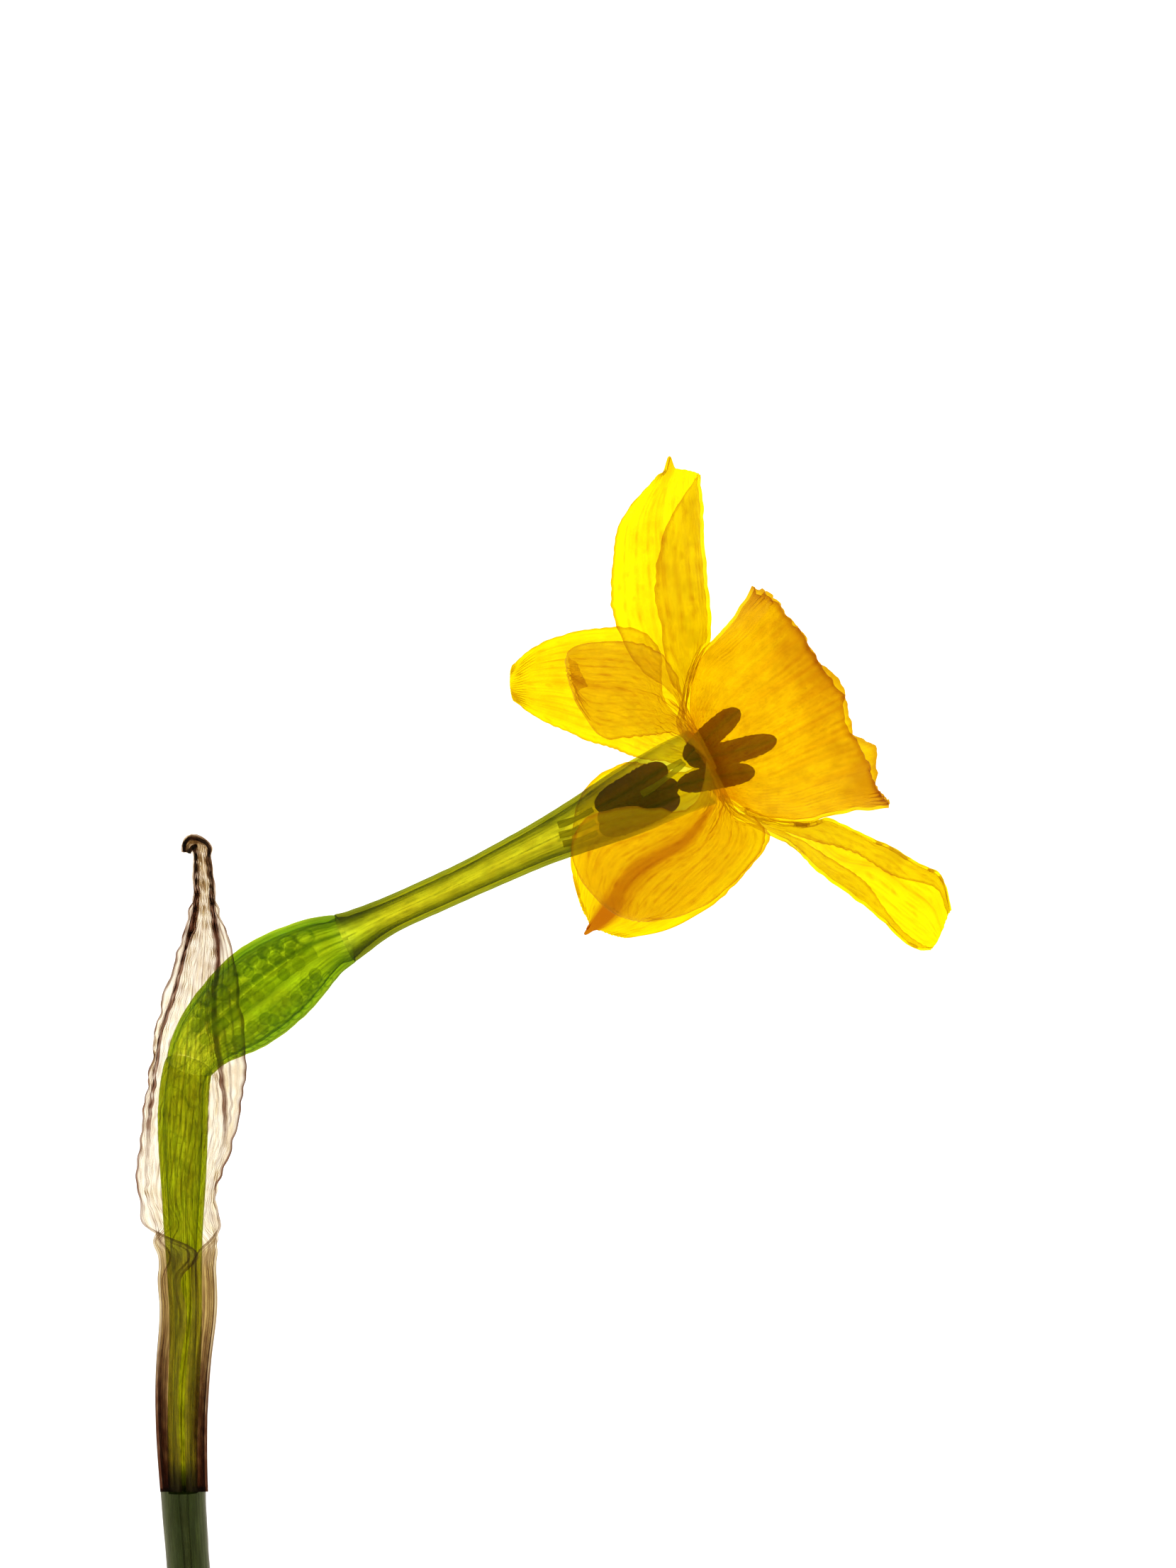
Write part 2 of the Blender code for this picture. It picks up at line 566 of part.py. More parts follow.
def anther(name, first, last):
    """A grooved, slightly curved pod, blunt at both ends, from an ico sphere."""
    first, last = np.asarray(first), np.asarray(last)
    along = last - first
    length = np.linalg.norm(along)
    along = along / length
    side = np.cross(along, UP)
    side /= np.linalg.norm(side)
    top = np.cross(side, along)
    bm = bmesh.new()
    bmesh.ops.create_uvsphere(bm, u_segments=10, v_segments=7, radius=1.0)
    for v in bm.verts:
        x, y, z = v.co
        swell = (1.0 - abs(z) ** 4) ** 0.12 if abs(z) < 1 else 0.0
        turn = math.atan2(y, x)
        groove = 1.0 - 0.22 * max(0.0, math.cos(turn)) ** 6 - 0.18 * max(0.0, -math.cos(turn)) ** 6
        r = math.hypot(x, y) ** 0.75 * ANTHER_R * groove * (1.0 if swell else 1.0)
        bend = 0.10 * (1 - z * z)
        v.co = place(
            first
            + along * (length * (z + 1) / 2)
            + side * (r * math.cos(turn))
            + top * (r * math.sin(turn) + bend)
        )
    return finish_bmesh("anther_" + name, bm, ANTHER_BROWN)


def thread(name, points, depth, mat, radii=None, resolution=2):
    """A filament or style: a bevelled curve with filled ends."""
    curve = bpy.data.curves.new(name, "CURVE")
    curve.dimensions = "3D"
    curve.bevel_depth = depth * MM
    curve.bevel_resolution = resolution
    curve.use_fill_caps = True
    line = curve.splines.new("POLY")
    line.points.add(len(points) - 1)
    for i, p in enumerate(points):
        line.points[i].co = (*place(p), 1.0)
        line.points[i].radius = 1.0 if radii is None else radii[i]
    obj = bpy.data.objects.new(name, curve)
    curve.materials.append(mat)
    SCENE.collection.objects.link(obj)
    return obj


for name, foot, low, high in STAMENS:
    a, b, c = in_flower(*foot), in_flower(*low), in_flower(*high)
    anther(name, b, c)
    stop = b + (a - b) / np.linalg.norm(a - b) * (GAP + 0.05)
    thread("filament_" + name, [a, (a + stop) / 2, stop], FILAMENT_R, STYLE_GREEN, resolution=1)

style_top = 4.9
count = 16
at = np.linspace(-33.2, style_top, count)
lean = [0.0 if a < -3 else 0.9 * ((a + 3) / (style_top + 3)) for a in at]
style_line = [in_flower(a, -l * 1.0, -l * 0.15) for a, l in zip(at, lean)]
widths = [1.0] * (count - 2) + [1.2, 2.1]
thread("style", style_line, STYLE_R, STYLE_GREEN, widths, resolution=2)
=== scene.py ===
"""The looks of a cut daffodil flower of the jonquil type, lying on a pale, softly glowing surface.

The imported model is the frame. Every piece of it is replaced by, or given, a fine mesh of thin
living tissue: light passes through the tepals, the cup, the tube and the ovary, so overlapping
layers deepen in colour and the stamens, style and ovules show inside.
All design lengths are millimetres in the layout frame that the solids were drawn in; place()
moves them to the part's frame, in metres.
"""
import math

import bpy
import numpy as np
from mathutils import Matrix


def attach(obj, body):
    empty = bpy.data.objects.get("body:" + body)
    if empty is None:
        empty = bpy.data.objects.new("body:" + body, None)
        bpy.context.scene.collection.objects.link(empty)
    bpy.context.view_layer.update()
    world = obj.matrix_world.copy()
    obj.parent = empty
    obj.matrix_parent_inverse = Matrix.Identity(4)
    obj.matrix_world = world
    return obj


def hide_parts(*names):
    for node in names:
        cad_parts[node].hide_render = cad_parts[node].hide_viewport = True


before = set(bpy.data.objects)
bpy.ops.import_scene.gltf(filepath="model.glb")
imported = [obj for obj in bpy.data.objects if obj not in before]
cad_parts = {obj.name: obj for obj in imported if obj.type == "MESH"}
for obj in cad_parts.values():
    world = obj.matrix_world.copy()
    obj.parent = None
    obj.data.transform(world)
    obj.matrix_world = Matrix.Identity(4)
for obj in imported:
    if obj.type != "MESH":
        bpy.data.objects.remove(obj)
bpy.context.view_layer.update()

MM = 0.001
LAYOUT_ORIGIN = (-1.978, -12.304, 0.02)
MOUTH = np.array([11.1, 23.3, 11.6])
HEADING = math.radians(30.0)
NOD = math.radians(-5.0)
CORONA_DEPTH = 10.3
CORONA_MOUTH_R = 9.9
THROAT_R = 3.05
FLOOR_GLOW, SKY, LAMP = 1.08, 0.55, 0.8

PLAN = np.array([math.cos(HEADING), math.sin(HEADING), 0.0])
CROSS = np.array([-math.sin(HEADING), math.cos(HEADING), 0.0])
UP = np.array([0.0, 0.0, 1.0])
AXIS = PLAN * math.cos(NOD) + UP * math.sin(NOD)
RISE = UP * math.cos(NOD) - PLAN * math.sin(NOD)


# ---------------------------------------------------------------- curves, ripples, meshes
def place(points):
    return (np.asarray(points, float) - np.array(LAYOUT_ORIGIN)) * MM


def spline(stations, at, knots=None):
    """A natural cubic curve through the stations, read at the parameters in at (0 to 1)."""
    y = np.asarray(stations, float)
    if y.ndim == 1:
        y = y[:, None]
    n = len(y)
    x = np.linspace(0.0, 1.0, n) if knots is None else np.asarray(knots, float)
    h = np.diff(x)
    lhs = np.zeros((n, n))
    rhs = np.zeros((n, y.shape[1]))
    lhs[0, 0] = lhs[-1, -1] = 1.0
    for i in range(1, n - 1):
        lhs[i, i - 1], lhs[i, i], lhs[i, i + 1] = h[i - 1], 2 * (h[i - 1] + h[i]), h[i]
        rhs[i] = 6 * ((y[i + 1] - y[i]) / h[i] - (y[i] - y[i - 1]) / h[i - 1])
    m = np.linalg.solve(lhs, rhs)
    t = np.asarray(at, float)
    k = np.clip(np.searchsorted(x, t) - 1, 0, n - 2)
    a, b = (x[k + 1] - t) / h[k], (t - x[k]) / h[k]
    return (
        a[:, None] * y[k]
        + b[:, None] * y[k + 1]
        + ((a**3 - a)[:, None] * m[k] + (b**3 - b)[:, None] * m[k + 1]) * (h[k] ** 2)[:, None] / 6
    )


def knots_of(points):
    step = np.linalg.norm(np.diff(np.asarray(points, float), axis=0), axis=1)
    total = np.concatenate([[0.0], np.cumsum(step)])
    return total / total[-1]


def ripple(a, b, seed, low=1.0, high=6.0, count=7):
    """A smooth, seeded, irregular wave over two coordinates, about -1 to 1."""
    rng = np.random.default_rng(seed)
    out = 0.0
    for _ in range(count):
        fa, fb = rng.uniform(-high, high, 2)
        if abs(fa) + abs(fb) < low:
            fa += low
        out = out + np.sin(a * fa * 2 * math.pi + b * fb * 2 * math.pi + rng.uniform(0, 6.28))
    return out / math.sqrt(count) / 1.2


def bell(x, width):
    return np.exp(-((x / width) ** 2))


def smooth(x, lo, hi):
    t = np.clip((x - lo) / (hi - lo), 0.0, 1.0)
    return t * t * (3 - 2 * t)


def cross_frames(path, tangent=None):
    path = np.asarray(path, float)
    tangent = np.gradient(path, axis=0) if tangent is None else np.array(tangent)
    tangent = tangent / np.linalg.norm(tangent, axis=1)[:, None]
    side = np.cross(tangent[0], [0.0, 0.0, 1.0])
    side /= np.linalg.norm(side)
    sides, ups = [], []
    for t in tangent:
        side = side - t * (side @ t)
        side = side / np.linalg.norm(side)
        sides.append(side)
        ups.append(np.cross(side, t))
    return tangent, np.array(sides), np.array(ups)


def solid(name, points, faces, uv, tone, mat, node, extra=()):
    """A piece of the flower from its points in layout millimetres, riding on the root body."""
    points = place(points)
    tri = []
    for f in faces:
        tri.append((f[0], f[1], f[2]))
        if len(f) == 4:
            tri.append((f[0], f[2], f[3]))
    tri = np.array(tri)
    p = points[tri]
    if np.einsum("ij,ij->i", p[:, 0], np.cross(p[:, 1], p[:, 2])).sum() < 0:
        faces = [tuple(reversed(f)) for f in faces]
    mesh = bpy.data.meshes.new(name)
    mesh.from_pydata(points.tolist(), [], [tuple(int(i) for i in f) for f in faces])
    layer = mesh.uv_layers.new(name="tissue")
    index = np.empty(len(mesh.loops), np.int32)
    mesh.loops.foreach_get("vertex_index", index)
    layer.data.foreach_set("uv", np.asarray(uv, np.float32)[index].ravel())
    colour = mesh.color_attributes.new("tone", "FLOAT_COLOR", "POINT")
    full = np.ones((len(points), 4), np.float32)
    full[:, :3] = tone
    colour.data.foreach_set("color", full.ravel())
    mesh.materials.append(mat)
    mesh.polygons.foreach_set("use_smooth", [True] * len(mesh.polygons))
    mesh.update()
    obj = bpy.data.objects.new(name, mesh)
    bpy.context.scene.collection.objects.link(obj)
    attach(obj, "root")
    if node:
        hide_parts(*([node] if isinstance(node, str) else node))
    return obj


def leaf(name, grid, thick, uv, tone, mat, node, around=False):
    """A closed thin shell on both sides of a grid of points, with its own thickness at each."""
    grid = np.asarray(grid, float)
    rows, cols = grid.shape[:2]
    if around:
        wide = np.concatenate([grid[:, -1:], grid, grid[:, :1]], axis=1)
        dv = (wide[:, 2:] - wide[:, :-2]) / 2
    else:
        dv = np.gradient(grid, axis=1)
    du = np.gradient(grid, axis=0)
    normal = np.cross(du, dv)
    length = np.linalg.norm(normal, axis=2, keepdims=True)
    normal = normal / np.maximum(length, 1e-9)
    half = np.broadcast_to(np.asarray(thick, float), (rows, cols))[:, :, None] / 2
    top, low = grid + normal * half, grid - normal * half
    points = np.concatenate([top.reshape(-1, 3), low.reshape(-1, 3)])
    n = rows * cols
    wrap = cols if around else cols - 1
    i = np.arange(rows - 1)[:, None]
    j = np.arange(wrap)[None, :]
    k = (j + 1) % cols
    a, b, c, d = i * cols + j, i * cols + k, (i + 1) * cols + k, (i + 1) * cols + j
    upper = np.stack([a, b, c, d], -1).reshape(-1, 4)
    lower = upper[:, ::-1] + n
    sides = []
    for r, flip in ((0, True), (rows - 1, False)):
        for j in range(wrap):
            p, q = r * cols + j, r * cols + (j + 1) % cols
            sides.append((p, q, q + n, p + n) if not flip else (q, p, p + n, q + n))
    if not around:
        for col, flip in ((0, False), (cols - 1, True)):
            for i in range(rows - 1):
                p, q = i * cols + col, (i + 1) * cols + col
                sides.append((p, q, q + n, p + n) if not flip else (q, p, p + n, q + n))
    # the order of the two skins: turn the rims to agree with them
    faces = [tuple(f[::-1]) for f in upper] + [tuple(f[::-1]) for f in lower] + [tuple(s[::-1]) for s in sides]
    uv = np.asarray(uv, float).reshape(-1, 2)
    tone = np.asarray(tone, float).reshape(-1, 3)
    return solid(name, points, faces, np.concatenate([uv, uv]), np.concatenate([tone, tone]), mat, node)


def stalk(name, path, outer, mat, node, inner=None, tangent=None, tone=None, uv_scale=1.0, closed=(0, 0)):
    """A stalk from rings: outer and inner hold a radius for each ring and each turn."""
    outer = np.asarray(outer, float)
    rows, cols = outer.shape
    _, sides, ups = cross_frames(path, tangent)
    turn = np.arange(cols) / cols * 2 * math.pi

    def skin(radius):
        return (
            np.asarray(path)[:, None]
            + sides[:, None] * (radius * np.cos(turn))[:, :, None]
            + ups[:, None] * (radius * np.sin(turn))[:, :, None]
        )

    points = [skin(outer).reshape(-1, 3)]
    n = rows * cols
    i = np.arange(rows - 1)[:, None]
    j = np.arange(cols)[None, :]
    k = (j + 1) % cols
    quads = np.stack([i * cols + j, i * cols + k, (i + 1) * cols + k, (i + 1) * cols + j], -1).reshape(-1, 4)
    faces = [tuple(f) for f in quads]
    v = knots_of(path)
    uv = np.stack(np.broadcast_arrays(turn[None, :] / (2 * math.pi), v[:, None]), -1).reshape(-1, 2)
    tone = np.zeros((rows, cols, 3)) if tone is None else tone
    tones = [np.asarray(tone).reshape(-1, 3)]
    uvs = [uv]
    if inner is None:
        points.append(np.array([path[0], path[-1]]))
        uvs.append(np.array([[0.5, 0.0], [0.5, 1.0]]))
        tones.append(np.array([tones[0][0], tones[0][-1]]))
        for j in range(cols):
            k = (j + 1) % cols
            faces.append((k, j, n))
            faces.append(((rows - 1) * cols + j, (rows - 1) * cols + k, n + 1))
    else:
        first = closed[0]
        last = rows - 1 - closed[1]
        points.append(skin(np.asarray(inner, float)).reshape(-1, 3))
        faces += [tuple(f[::-1] + n) for f in quads[first * cols : last * cols]]
        uvs.append(uv)
        tones.append(tones[0])
        total = 2 * n
        for end, row, shut in ((0, first, closed[0]), (1, last, closed[1])):
            out_row = 0 if end == 0 else rows - 1
            if not shut:
                for j in range(cols):
                    k = (j + 1) % cols
                    p, q = out_row * cols + j, out_row * cols + k
                    faces.append((q, p, p + n, q + n) if end == 0 else (p, q, q + n, p + n))
            else:
                for r, offset, turned in ((out_row, 0, end == 1), (row, n, end == 0)):
                    centre = np.asarray(path)[r]
                    points.append(centre[None])
                    uvs.append(np.array([[0.5, v[r]]]))
                    tones.append(tones[0][:1])
                    for j in range(cols):
                        k = (j + 1) % cols
                        p, q = r * cols + j + offset, r * cols + k + offset
                        faces.append((p, q, total) if turned else (q, p, total))
                    total += 1
        points = [np.concatenate(points)]
        # drop the points of the bore that no face uses
        used = np.unique(np.concatenate([np.array(f) for f in faces]))
        back = -np.ones(len(points[0]), int)
        back[used] = np.arange(len(used))
        faces = [tuple(back[np.array(f)]) for f in faces]
        return solid(name, points[0][used], faces, np.concatenate(uvs)[used], np.concatenate(tones)[used], mat, node)
    return solid(name, np.concatenate(points), faces, np.concatenate(uvs), np.concatenate(tones), mat, node)


# ---------------------------------------------------------------- materials
def tissue(
    name, tint, vein_tint, dark_tint, body, vein_body, dark_body, clear,
    streak=(30.0, 3.0), streak_range=(0.45, 0.7), mottle=6.0, rough=0.5, bump=0.25,
    absorb=None, light_tint=None, spot_tint=None, spot_body=None, thin=0.5, sheen=0.0, specular=0.35,
):
    """Plant tissue that light passes through. Streaks run along the piece and follow its own
    coordinates. The tone attribute darkens (red), lightens (green) and mottles (blue) it."""
    mat = bpy.data.materials.new(name)
    mat.use_nodes = True
    nt = mat.node_tree
    nodes, links = nt.nodes, nt.links
    nodes.clear()

    def add(kind, **values):
        n = nodes.new(kind)
        for key, value in values.items():
            if key.startswith("in_"):
                n.inputs[int(key[3:])].default_value = value
            else:
                setattr(n, key, value)
        return n

    def mix(factor, a, b, kind="MIX"):
        n = add("ShaderNodeMix", data_type="RGBA", blend_type=kind)
        for socket, value in ((0, factor), (6, a), (7, b)):
            if isinstance(value, (int, float)):
                n.inputs[socket].default_value = value
            elif isinstance(value, tuple):
                n.inputs[socket].default_value = (*value, 1.0)
            else:
                links.new(value, n.inputs[socket])
        return n.outputs[2]

    def remap(value, lo, hi, to_lo=0.0, to_hi=1.0):
        n = add("ShaderNodeMapRange", interpolation_type="SMOOTHSTEP", clamp=True)
        n.inputs[1].default_value, n.inputs[2].default_value = lo, hi
        n.inputs[3].default_value, n.inputs[4].default_value = to_lo, to_hi
        links.new(value, n.inputs[0])
        return n.outputs[0]

    uv = add("ShaderNodeUVMap", uv_map="tissue")
    stretch = add("ShaderNodeMapping")
    stretch.inputs["Scale"].default_value = (streak[0], streak[1], 1.0)
    links.new(uv.outputs[0], stretch.inputs[0])
    fine = add("ShaderNodeTexNoise")
    fine.inputs["Scale"].default_value = 1.0
    fine.inputs["Detail"].default_value = 3.0
    fine.inputs["Roughness"].default_value = 0.6
    links.new(stretch.outputs[0], fine.inputs["Vector"])
    lines = remap(fine.outputs[0], *streak_range)
    where = add("ShaderNodeTexCoord")
    cloud = add("ShaderNodeTexNoise")
    cloud.inputs["Scale"].default_value = mottle * 100.0
    cloud.inputs["Detail"].default_value = 4.0
    links.new(where.outputs["Object"], cloud.inputs["Vector"])
    patches = remap(cloud.outputs[0], 0.38, 0.68)
    grain = add("ShaderNodeTexNoise")
    grain.inputs["Scale"].default_value = 9000.0
    grain.inputs["Detail"].default_value = 2.0
    links.new(where.outputs["Object"], grain.inputs["Vector"])
    cells = remap(grain.outputs[0], 0.35, 0.65)

    # the tone's red holds real streaks and also painted shade on the flanks of the scape, pedicel, ovary and tube;
    # its green holds real pale streaks and also, on the tube, a painted highlight along the top
    tone = add("ShaderNodeAttribute", attribute_name="tone")
    split = add("ShaderNodeSeparateColor")
    links.new(tone.outputs["Color"], split.inputs[0])
    dark, light, spot = split.outputs

    def coloured(base, vein, deep, pale, spotted):
        c = mix(lines, base, vein)
        patchy = mix(patches, (1.0, 1.0, 1.0), (0.93, 0.90, 0.86))
        c = mix(1.0, c, patchy, "MULTIPLY")
        c = mix(1.0, c, mix(cells, (1.0, 1.0, 1.0), (0.955, 0.945, 0.93)), "MULTIPLY")
        c = mix(spot, c, spotted)
        c = mix(light, c, pale)
        c = mix(dark, c, deep)
        return c

    pale_tint = light_tint or tuple(min(1.0, 1.15 * x) for x in tint)
    through = coloured(tint, vein_tint, dark_tint, pale_tint, spot_tint or vein_tint)
    own = coloured(body, vein_body, dark_body, tuple(min(1.0, 1.12 * x) for x in body), spot_body or vein_body)

    height = add("ShaderNodeMath", operation="MULTIPLY_ADD")
    links.new(lines, height.inputs[0])
    height.inputs[1].default_value = 0.7
    links.new(cells, height.inputs[2])
    bumped = add("ShaderNodeBump")
    bumped.inputs["Strength"].default_value = bump
    bumped.inputs["Distance"].default_value = 0.00008
    links.new(height.outputs[0], bumped.inputs["Height"])

    shader = add("ShaderNodeBsdfPrincipled")
    links.new(own, shader.inputs["Base Color"])
    shader.inputs["Roughness"].default_value = rough
    shader.inputs["Specular IOR Level"].default_value = specular
    shader.inputs["Sheen Weight"].default_value = sheen
    links.new(bumped.outputs[0], shader.inputs["Normal"])
    glow = add("ShaderNodeBsdfTranslucent")
    links.new(own, glow.inputs["Color"])
    links.new(bumped.outputs[0], glow.inputs["Normal"])
    flesh = add("ShaderNodeMixShader")
    flesh.inputs[0].default_value = thin
    links.new(shader.outputs[0], flesh.inputs[1])
    links.new(glow.outputs[0], flesh.inputs[2])
    window = add("ShaderNodeBsdfTransparent")
    links.new(through, window.inputs["Color"])
    whole = add("ShaderNodeMixShader")
    whole.inputs[0].default_value = clear
    links.new(flesh.outputs[0], whole.inputs[1])
    links.new(window.outputs[0], whole.inputs[2])
    out = add("ShaderNodeOutputMaterial")
    links.new(whole.outputs[0], out.inputs["Surface"])
    if absorb:
        density = max(absorb) * 1000.0
        volume = add("ShaderNodeVolumeAbsorption")
        volume.inputs["Density"].default_value = density
        volume.inputs["Color"].default_value = (*(1 - 1000.0 * a / density for a in absorb), 1.0)
        links.new(volume.outputs[0], out.inputs["Volume"])
    return mat


TEPAL = tissue(
    "tepal_tissue", (0.955, 0.893, 0.03), (0.935, 0.850, 0.02), (0.70, 0.40, 0.04),
    (0.93, 0.70, 0.012), (0.90, 0.60, 0.010), (0.55, 0.24, 0.01), 0.85,
    streak=(46.0, 2.0), streak_range=(0.48, 0.66), rough=0.40, bump=0.4,
    light_tint=(0.965, 0.93, 0.03), spot_tint=(0.93, 0.825, 0.02), spot_body=(0.90, 0.58, 0.008),
)
CORONA = tissue(
    "corona_tissue", (0.995, 0.925, 0.04), (0.975, 0.868, 0.03), (0.72, 0.47, 0.05),
    (0.94, 0.58, 0.010), (0.90, 0.48, 0.008), (0.40, 0.16, 0.01), 0.86,
    streak=(150.0, 2.0), streak_range=(0.42, 0.64), rough=0.40, bump=0.6,
    light_tint=(0.99, 0.90, 0.10), spot_tint=(0.90, 0.66, 0.05), spot_body=(0.75, 0.34, 0.01),
)
TUBE = tissue(
    "tube_tissue", (0.975, 0.960, 0.58), (0.90, 0.88, 0.50), (0.46, 0.49, 0.22),
    (0.50, 0.50, 0.02), (0.34, 0.38, 0.02), (0.10, 0.11, 0.02), 0.90,
    streak=(26.0, 2.0), streak_range=(0.40, 0.62), rough=0.36, bump=0.4,
    absorb=(0.28, 0.29, 2.6), specular=0.5, light_tint=(1.0, 1.0, 0.58),
    spot_tint=(0.93, 0.975, 0.60), spot_body=(0.30, 0.42, 0.012),
)
OVARY = tissue(
    "ovary_tissue", (0.950, 0.980, 0.60), (0.86, 0.92, 0.50), (0.42, 0.50, 0.22),
    (0.26, 0.40, 0.012), (0.18, 0.31, 0.01), (0.05, 0.09, 0.008), 0.90,
    streak=(44.0, 3.0), streak_range=(0.42, 0.64), rough=0.32, bump=0.45,
    absorb=(0.34, 0.20, 2.6), specular=0.5, light_tint=(1.0, 1.0, 0.72), spot_tint=(0.975, 0.972, 0.60), spot_body=(0.42, 0.46, 0.02),
)
OVULE = tissue(
    "ovule_tissue", (0.985, 1.0, 0.75), (0.95, 0.98, 0.7), (0.5, 0.65, 0.3),
    (0.62, 0.74, 0.10), (0.55, 0.68, 0.08), (0.12, 0.2, 0.02), 0.86,
    streak=(8.0, 8.0), rough=0.3, bump=0.2, specular=0.5,
)
PEDICEL = tissue(
    "pedicel_tissue", (0.955, 0.982, 0.60), (0.86, 0.90, 0.48), (0.32, 0.38, 0.16),
    (0.34, 0.42, 0.015), (0.24, 0.32, 0.012), (0.05, 0.08, 0.01), 0.90,
    streak=(46.0, 9.0), streak_range=(0.42, 0.62), rough=0.36, bump=0.5,
    absorb=(0.34, 0.27, 3.0), specular=0.5, light_tint=(1.0, 1.0, 0.7),
)
SCAPE = tissue(
    "scape_tissue", (0.975, 0.985, 0.93), (0.88, 0.90, 0.82), (0.60, 0.57, 0.56),
    (0.16, 0.22, 0.04), (0.08, 0.13, 0.03), (0.03, 0.04, 0.025), 0.95,
    streak=(30.0, 6.0), streak_range=(0.40, 0.60), rough=0.40, bump=0.5,
    absorb=(1.08, 1.00, 1.35), specular=0.5, light_tint=(1.0, 1.0, 0.80),
)
SPATHE_PAPER = tissue(
    "spathe_paper", (0.982, 0.958, 0.885), (0.93, 0.86, 0.74), (0.27, 0.15, 0.10),
    (0.70, 0.58, 0.42), (0.58, 0.45, 0.30), (0.13, 0.08, 0.05), 0.93,
    streak=(64.0, 1.2), streak_range=(0.48, 0.66), rough=0.60, bump=0.6,
    light_tint=(0.995, 0.975, 0.92), specular=0.25, spot_tint=(0.93, 0.86, 0.62), spot_body=(0.5, 0.4, 0.15),
)
ANTHER = tissue(
    "anther_pollen", (0.74, 0.33, 0.22), (0.64, 0.26, 0.18), (0.40, 0.17, 0.13),
    (0.27, 0.060, 0.045), (0.20, 0.045, 0.036), (0.10, 0.024, 0.020), 0.30,
    streak=(40.0, 40.0), streak_range=(0.40, 0.62), rough=0.85, bump=0.9, thin=0.15, specular=0.15,
)
THREAD = tissue(
    "filament_tissue", (0.90, 0.90, 0.45), (0.84, 0.86, 0.40), (0.6, 0.6, 0.3),
    (0.62, 0.58, 0.10), (0.55, 0.50, 0.08), (0.2, 0.18, 0.03), 0.62,
    streak=(10.0, 3.0), rough=0.4, bump=0.2, specular=0.5,
)


# ---------------------------------------------------------------- the flower's centre line
def from_axis(a, p, q):
    return MOUTH + AXIS * a + CROSS * p + RISE * q


SCAPE_LINE = [  # x, y, z, radius
    (-28.81, -71.11, 1.64, 1.74),
    (-29.03, -62.11, 1.70, 1.72),
    (-29.48, -50.85, 1.85, 1.66),
    (-30.03, -40.27, 2.10, 1.62),
    (-30.32, -36.20, 2.35, 1.66),
    (-30.44, -33.90, 2.49, 1.70),
]
CENTRE_LINE = [
    (-30.44, -34.29, 2.48),
    (-30.49, -29.79, 2.58),
    (-30.23, -20.62, 2.8),
    (-30.39, -14.27, 3.0),
    (-30.4, -9.2, 3.35),
    (-30.42, -5.82, 3.75),
    (-30.31, -2.72, 4.3),
    (-29.81, -0.18, 5.1),
    (-28.2, 2.26, 6.3),
    (-25.97, 4.13, 7.6),
    (-24.27, 5.55, 8.5),
    (-22.58, 6.84, 9.2),
    (-20.61, 8.24, 9.8),
    (-18.82, 9.25, 10.1),
    (-17.43, 9.81, 10.25),
    (-15.59, 10.76, 10.45),
    (-11.12, 12.88, 11.2),
    (-6.67, 14.94, 11.9),
    (-2.22, 17.11, 12.3),
    (2.22, 19.22, 12.3),
    (6.67, 21.45, 12.0),
    (9.34, 22.72, 11.75),
    (10.62, 23.22, 11.6),
]
PEDICEL_R = [1.16, 1.20, 1.25, 1.30, 1.46, 1.76, 1.98, 1.90]
OVARY_R = [1.95, 2.55, 3.20, 3.62, 3.68, 3.35, 2.72, 2.00]
TUBE_R = [1.98, 1.46, 1.40, 1.42, 1.55, 1.75, 2.15, 2.60, 2.85, THROAT_R]
PEDICEL_END, OVARY_END = 7, 14
LINE_KNOTS = knots_of(CENTRE_LINE)
LINE_LENGTH = float(np.linalg.norm(np.diff(CENTRE_LINE, axis=0), axis=1).sum())


def reach(first, last, steps, radii, trim=(0.0, 0.0)):
    lo = LINE_KNOTS[first] + trim[0] / LINE_LENGTH
    hi = LINE_KNOTS[last] - trim[1] / LINE_LENGTH
    at = np.linspace(lo, hi, steps)
    r = spline(radii, np.linspace(0, 1, steps))[:, 0]
    ahead = spline(CENTRE_LINE, at + 1e-4, LINE_KNOTS) - spline(CENTRE_LINE, at - 1e-4, LINE_KNOTS)
    return spline(CENTRE_LINE, at, LINE_KNOTS), r, ahead


def turns(count):
    return np.arange(count) / count * 2 * math.pi


# ---------------------------------------------------------------- scape and pedicel
line = np.array(SCAPE_LINE)
rows, cols = 150, 216
at = np.linspace(0, 1, rows)
path = spline(line[:, :3], at, knots_of(line[:, :3]))
r = spline(line[:, 3], at, knots_of(line[:, :3]))[:, 0][:, None]
t, v = turns(cols)[None, :], at[:, None]
round_ = 1 + 0.05 * np.cos(2 * t) + 0.012 * np.cos(13 * t + 1.0) + 0.010 * ripple(t / 6.283, v * 4, 11)
tone = np.zeros((rows, cols, 3))
streaks = ripple(t / 6.283 * 5, v * 2.5, 12, high=4.0)
threads = np.clip(np.cos(34 * t + 0.8 * np.sin(9 * v + t)) * 1.6 - 0.5, 0, 1) * (0.6 + 0.4 * ripple(t / 6.283 * 6, v * 9, 13, high=5.0))
# the |cos| term is painted shade: the scape is darkened along its two flanks, left and right as it lies
tone[..., 0] = 0.06 + 0.60 * threads + 0.30 * np.clip(streaks, 0, 1) + 0.85 * np.abs(np.cos(t)) ** 3
tone[..., 1] = 0.9 * np.clip(-streaks - 0.25, 0, 1) * (1 - threads)
stalk("scape_skin", path, r * round_, SCAPE, "scape", inner=(r - 1.30) * np.ones_like(t), tone=np.clip(tone, 0, 1))

